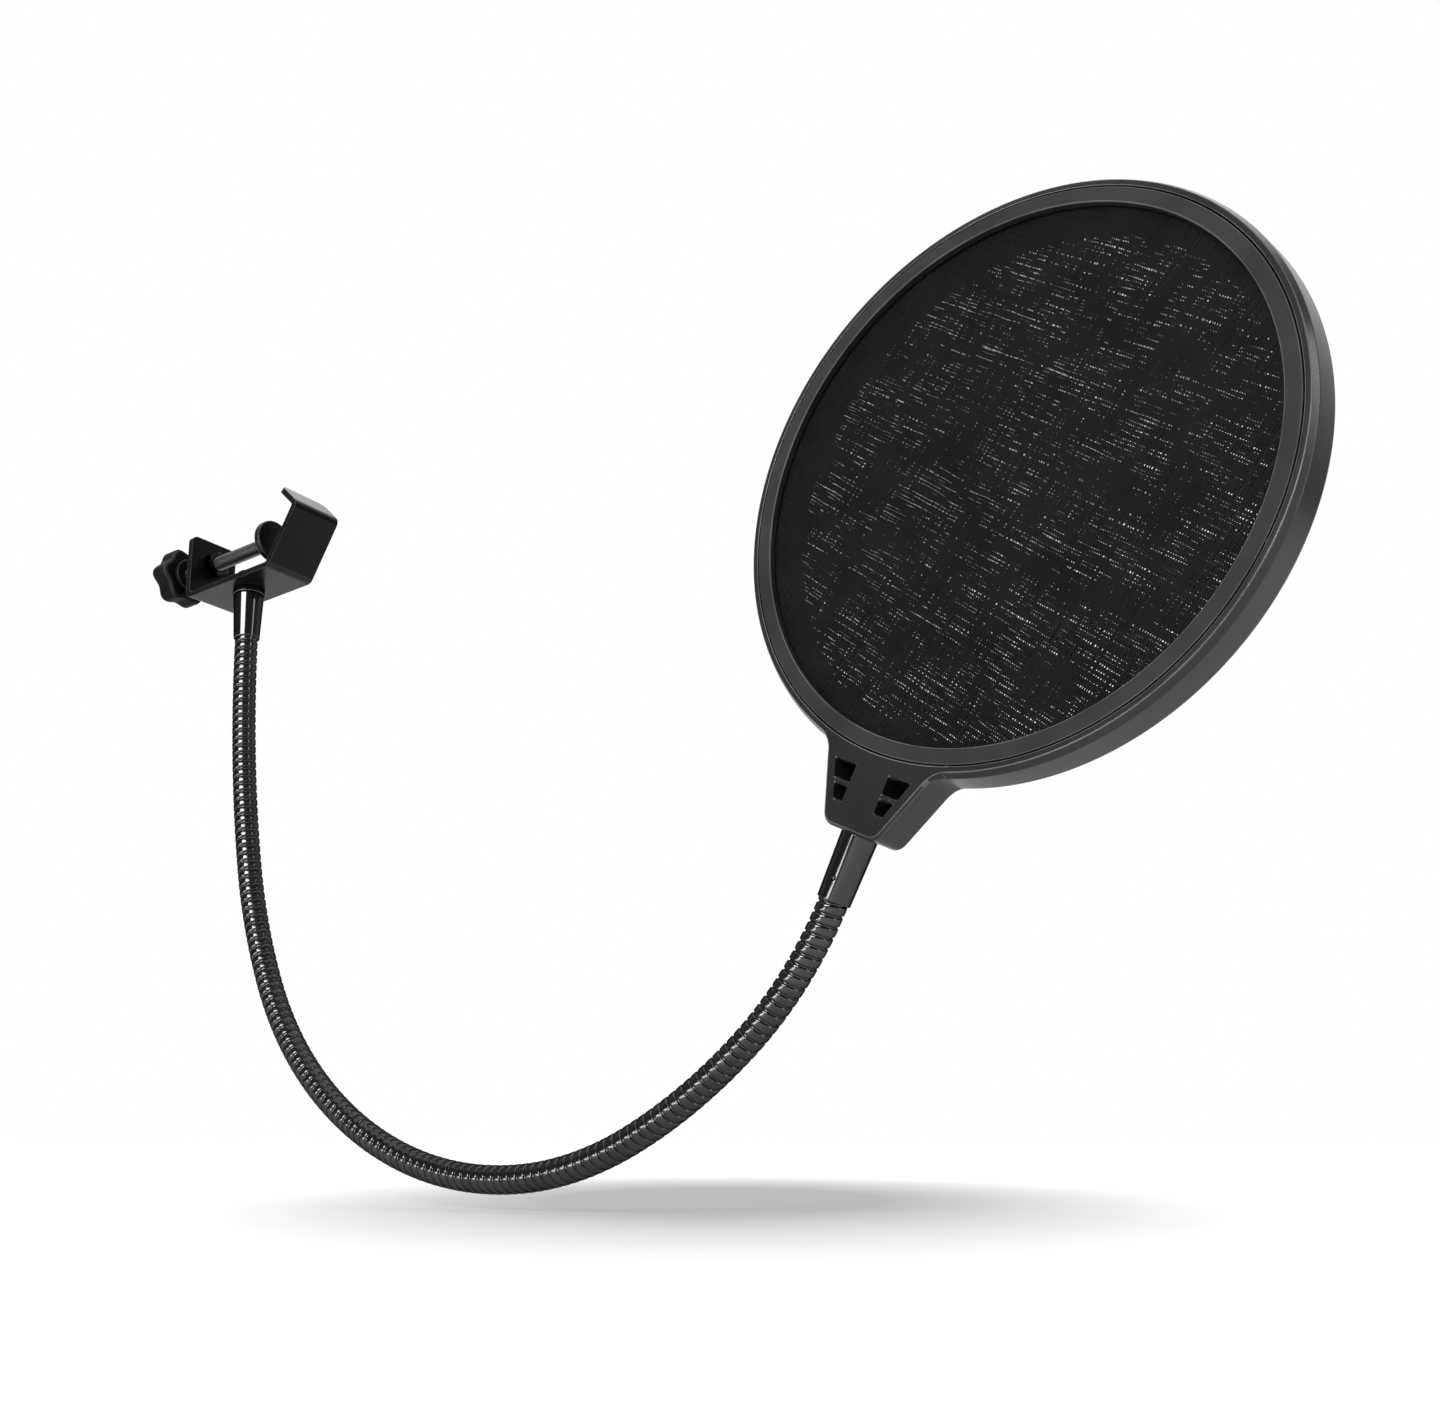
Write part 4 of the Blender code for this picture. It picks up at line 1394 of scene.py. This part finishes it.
    def build_mesh(self, name: str, node: str, low: float, pitches: tuple[float, float],
                   turn: float, seed: int) -> None:
        """Lay two sets of crossing strands into one round sheet.

        Args:
            name: The piece's name.
            node: The solid that it stands for.
            low: Height of the sheet's back.
            pitches: Distance between the strands of each set.
            turn: How far the strands are turned in the ring.
            seed: Start of this layer's random draws.
        """
        draw = random.Random(seed)
        shift = Vector([draw.uniform(0, self.noise_span) for _ in range(3)])
        sheet_radius = self.channel - 2 * SEAT
        thickness = self.mesh_thickness / 2
        sheet = bmesh.new()
        strand = self.straight_strand(self.strand_cuts)
        for layer, pitch in enumerate(pitches):
            count = int(2 * sheet_radius / pitch)
            level = low + thickness * (layer + 0.5)
            frame = Matrix.Rotation(turn + layer * pi / 2, 3, "Z")
            for number in range(count):
                off = (number - (count - 1) / 2) * pitch
                off += self.stray[layer] * draw.uniform(-1, 1)
                half = sqrt(max(sheet_radius ** 2 - off ** 2, 0)) - self.strand_pitch
                if half < self.shortest_strand * self.strand_pitch:
                    continue
                size = Vector((pitch - self.strand_gap, thickness, half))
                own = Vector((0, number * self.noise_steps[0], layer * self.noise_steps[1] + seed))
                self.lay_strand(sheet, strand.copy(), size, off, level, frame, shift, own,
                                self.wander[layer])
        strand.free()
        made = self.shop.add(name, sheet, Body.HEAD, WOVEN_NYLON, node, place=self.place)

    @staticmethod
    def straight_strand(cuts: int) -> Shape:
        """A strand of unit size, cut into short lengths so that it can sway.

        Args:
            cuts: How many cuts it gets.

        Returns:
            The closed shape.
        """
        strand = bmesh.new()
        bmesh.ops.create_cone(strand, segments=4, radius1=0.5, radius2=0.5, depth=2, cap_ends=True)
        uprights = [edge for edge in strand.edges if rise(edge) > 1]
        bmesh.ops.subdivide_edges(strand, edges=uprights, cuts=cuts, use_grid_fill=True)
        return strand

    def lay_strand(self, sheet: Shape, strand: Shape, size: Vector, off: float, level: float,
                   frame: Matrix, shift: Vector, own: Vector, wander: float) -> None:
        """Add one flat strand to a sheet, swayed as the weave sways.

        Args:
            sheet: The sheet's shape.
            strand: A straight strand of unit size, which is used up.
            size: The strand's width, thickness and half its length.
            off: How far the strand lies from the sheet's middle.
            level: Height of the strand's middle.
            frame: The turn of this set of strands.
            shift: Where this sheet's sway starts in the noise.
            own: Where this strand's own wander starts in the noise.
            wander: How far the strand wanders by itself.
        """
        for vert in strand.verts:
            across, up, along = vert.co
            length = along * size.z
            flat = frame @ Vector((length, off, 0))
            drift = self.sway * noise.noise(flat / self.sway_length + shift)
            stray = wander * noise.noise(Vector((length / self.wander_length, 0, 0)) + own)
            spot = frame @ Vector((length, off + drift + stray + across * size.x, 0))
            vert.co = (spot.x, spot.y, level + up * size.y)
        self.shop.merge(sheet, strand)

    def build(self) -> None:
        """Build the whole head."""
        self.build_frame()
        self.build_bezel()
        self.build_ferrule()
        rear = self.back + self.flange_thickness + SEAT
        ahead = self.front - self.bezel_thickness - SEAT - self.mesh_thickness
        close = self.strand_pitch
        along, across = (share * close for share in self.rear_pitches)
        self.build_mesh("rear_weave", "rear_mesh", rear, (along, across),
                        self.weave_turn + self.layer_turn, self.seeds[0])
        self.build_mesh("front_weave", "front_mesh", ahead, (close, close), self.weave_turn,
                        self.seeds[1])


@dataclass(frozen=True)
class Lamp:
    """One soft studio lamp."""

    name: str
    place: Place
    aim: Place
    wide: float
    tall: float
    radiance: float

    def light(self) -> None:
        """Hang the lamp."""
        data = bpy.data.lights.new(self.name, "AREA")
        data.shape = "RECTANGLE"
        data.size = self.wide
        data.size_y = self.tall
        data.energy = self.radiance * pi * self.wide * self.tall
        made = bpy.data.objects.new(self.name, data)
        way = Vector(self.aim) - Vector(self.place)
        made.matrix_world = (Matrix.Translation(self.place)
                             @ way.to_track_quat("-Z", "Y").to_matrix().to_4x4())
        bpy.context.scene.collection.objects.link(made)


@dataclass
class Studio:
    """A white studio: pale floor, white surroundings, soft lamps and the camera."""

    floor_place: Place = (0.11, 0.0, -0.2315)
    floor_normal: Place = (0.07894, -0.01857, 0.99662)
    floor_size: float = 6.0
    fade_span: tuple[float, float] = (0.22, 0.6)
    fade_levels: tuple[float, float] = (0.97, 1.25)
    paper_span: tuple[float, float] = (0.6, 1.2)
    paper_bounce: float = 0.6
    paper_seen: float = 0.3
    pale: Colour = (0.86, 0.86, 0.86)
    painted_shadow_grey: Colour = (0.1, 0.1, 0.1)
    ambient: float = 0.15
    room: float = 0.12
    backdrop_span: tuple[float, float] = (0.1, 0.7)
    # Painted shadow: a darker patch in the floor's own colour under the object, which stays where
    # it is when parts are posed; the lamps' own faint cast shadow falls on it too.
    painted_shadow_place: Place = (0.098, 0.095, -0.2315)
    painted_shadow_size: Place = (0.148, 0.25, 9.0)
    painted_shadow_edge: float = 0.65
    painted_shadow_depth: float = 0.58
    lamps: tuple[Lamp, ...] = (
        Lamp("key_box", (0.23, -1.17, 0.32), (0.08, 0, -0.1), 0.75, 0.30, 22.0),
        Lamp("low_band", (-0.39, -1.09, -0.117), (0.12, 0, -0.18), 0.72, 0.17, 14.0),
        Lamp("side_strip", (1.25, 0.13, 0.06), (0.25, 0, -0.07), 0.22, 0.95, 5.0),
        Lamp("top_box", (0.12, 0.05, 1.0), (0.12, 0, -0.2), 1.60, 1.60, 0.9),
    )
    azimuth: float = radians(31.662)
    elevation: float = radians(-19.141)
    roll: float = radians(-3.423)
    focal_pixels: float = 1471.6
    camera_place: Place = (0.36148, -0.31285, -0.23638)
    sensor: float = 36.0
    nearest: float = 0.01

    def surround(self) -> None:
        """A white backdrop, a dim room behind the camera, and a softer level to light by."""
        world = bpy.data.worlds.new("studio")
        bpy.context.scene.world = world
        world.use_nodes = True
        nodes = Nodes(world.node_tree)
        rays = nodes.node("LightPath").outputs
        ahead = nodes.node("VectorMath", operation="DOT_PRODUCT")
        ahead.inputs[1].default_value = -self.facing().col[2].to_3d()
        nodes.link(nodes.node("TexCoord").outputs["Generated"], ahead.inputs[0])
        backdrop = nodes.spread(ahead.outputs["Value"], *self.backdrop_span, self.room, 1.0)
        share = nodes.math("MULTIPLY", rays["Is Glossy Ray"], backdrop)
        for kind in ("Is Camera Ray", "Is Transmission Ray"):
            share = nodes.math("MAXIMUM", share, rays[kind])
        back = world.node_tree.nodes["Background"]
        back.inputs["Color"].default_value = (1, 1, 1, 1)
        nodes.link(nodes.spread(share, 0.0, 1.0, self.ambient, 1.0), back.inputs["Strength"])

    def painted_shadow(self, nodes: Nodes, place: Socket) -> Socket:
        """The floor's tone: pale, darkened under the object by a soft painted shadow.

        Args:
            nodes: The floor's nodes.
            place: The coordinates on the floor.

        Returns:
            The tone.
        """
        spot = nodes.node("Mapping", vector_type="TEXTURE")
        spot.inputs["Location"].default_value = self.painted_shadow_place
        spot.inputs["Rotation"].default_value = (0, 0, self.azimuth)
        spot.inputs["Scale"].default_value = self.painted_shadow_size
        nodes.link(place, spot.inputs["Vector"])
        ball = nodes.node("TexGradient", gradient_type="SPHERICAL")
        nodes.link(spot.outputs["Vector"], ball.inputs["Vector"])
        share = nodes.spread(ball.outputs["Fac"], 0.0, self.painted_shadow_edge, 0.0, self.painted_shadow_depth)
        return nodes.blend(share, self.pale, self.painted_shadow_grey)

    def paper(self) -> bpy.types.Material:
        """The floor's material: pale paper that the camera sees through and mirrors see white.

        Returns:
            The new material.
        """
        made = bpy.data.materials.new("pale floor")
        made.use_nodes = True
        tree = made.node_tree
        tree.nodes.remove(tree.nodes["Principled BSDF"])
        nodes = Nodes(tree)
        rays = nodes.node("LightPath").outputs
        place = nodes.node("TexCoord").outputs["Object"]
        away = nodes.node("VectorMath", operation="DISTANCE")
        away.inputs[1].default_value = self.floor_place
        nodes.link(place, away.inputs[0])
        distance = away.outputs["Value"]
        fade = nodes.spread(distance, *self.fade_span, *self.fade_levels)
        near = nodes.spread(distance, *self.paper_span, 1.0, 0.0)
        lit = nodes.spread(rays["Is Camera Ray"], 0.0, 1.0, self.paper_bounce, self.paper_seen)
        mirrored_share = nodes.math("MAXIMUM", rays["Is Glossy Ray"], rays["Is Transmission Ray"])
        # The floor's tone holds the painted shadow under the object, which the camera and mirrors
        # both see.
        tone = self.painted_shadow(nodes, place)
        # The camera sees the white beyond the floor through it, and any part that dips below it.
        layers = (("BsdfDiffuse", (near, lit)), ("Emission", (fade, mirrored_share)),
                  ("BsdfTransparent", (fade, rays["Is Camera Ray"])))
        surface = None
        for kind, scales in layers:
            layer = nodes.node(kind)
            nodes.link(nodes.scaled(tone, *scales), layer.inputs["Color"])
            if surface is None:
                surface = layer.outputs[0]
                continue
            both = nodes.node("AddShader")
            nodes.link(surface, both.inputs[0])
            nodes.link(layer.outputs[0], both.inputs[1])
            surface = both.outputs[0]
        nodes.link(surface, tree.nodes["Material Output"].inputs["Surface"])
        return made

    def floor(self) -> None:
        """A pale floor that keeps the lamps' soft shadow, darkened under the object by a painted
        shadow, and fades to white.
        """
        bm = bmesh.new()
        bmesh.ops.create_grid(bm, x_segments=1, y_segments=1, size=self.floor_size / 2)
        turn = Vector((0, 0, 1)).rotation_difference(Vector(self.floor_normal)).to_matrix().to_4x4()
        bmesh.ops.transform(bm, matrix=Matrix.Translation(self.floor_place) @ turn, verts=bm.verts)
        mesh = bpy.data.meshes.new("studio_floor")
        bm.to_mesh(mesh)
        bm.free()
        mesh.materials.append(self.paper())
        made = bpy.data.objects.new("studio_floor", mesh)
        bpy.context.scene.collection.objects.link(made)

    def facing(self) -> Matrix:
        """The way the camera is turned.

        Returns:
            The turn, whose axes point to the right, upward and back.
        """
        a, e = self.azimuth, self.elevation
        back = Vector((sin(a) * cos(e), -cos(a) * cos(e), sin(e)))
        level = Vector((cos(a), sin(a), 0))
        upright = back.cross(level)
        right = level * cos(self.roll) + upright * sin(self.roll)
        upward = upright * cos(self.roll) - level * sin(self.roll)
        return Matrix((right, upward, back)).transposed().to_4x4()

    def camera(self) -> None:
        """The camera, where the photograph was taken from."""
        data = bpy.data.cameras.new("camera")
        data.sensor_fit = "HORIZONTAL"
        data.sensor_width = self.sensor
        data.lens = self.sensor * self.focal_pixels / IMAGE_WIDTH
        data.clip_start = self.nearest
        made = bpy.data.objects.new("camera", data)
        made.matrix_world = Matrix.Translation(self.camera_place) @ self.facing()
        bpy.context.scene.collection.objects.link(made)
        bpy.context.scene.camera = made

    def build(self) -> None:
        """Set up the whole studio."""
        bpy.context.scene.view_settings.view_transform = "Standard"
        self.camera()
        self.surround()
        self.floor()
        for lamp in self.lamps:
            lamp.light()


def main() -> None:
    """Dress the pop filter from the clamp to the head, and light it."""
    logging.basicConfig(level=logging.INFO, format="%(relativeCreated)d %(message)s")
    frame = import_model()
    Studio().build()
    shop = Workshop()
    clamp = Clamp(shop)
    clamp.build()
    path = NeckPath(root=clamp.neck_root())
    Gooseneck(shop, path).build()
    ScreenHead(shop, path.frames[-1]).build()
    shop.dress(frame["nodes"]["spacer_ring"], GLOSS_MOULDING)
    shop.dress(frame["nodes"]["head_stud"], BLACK_PLATING)


if __name__ == "__main__":
    main()
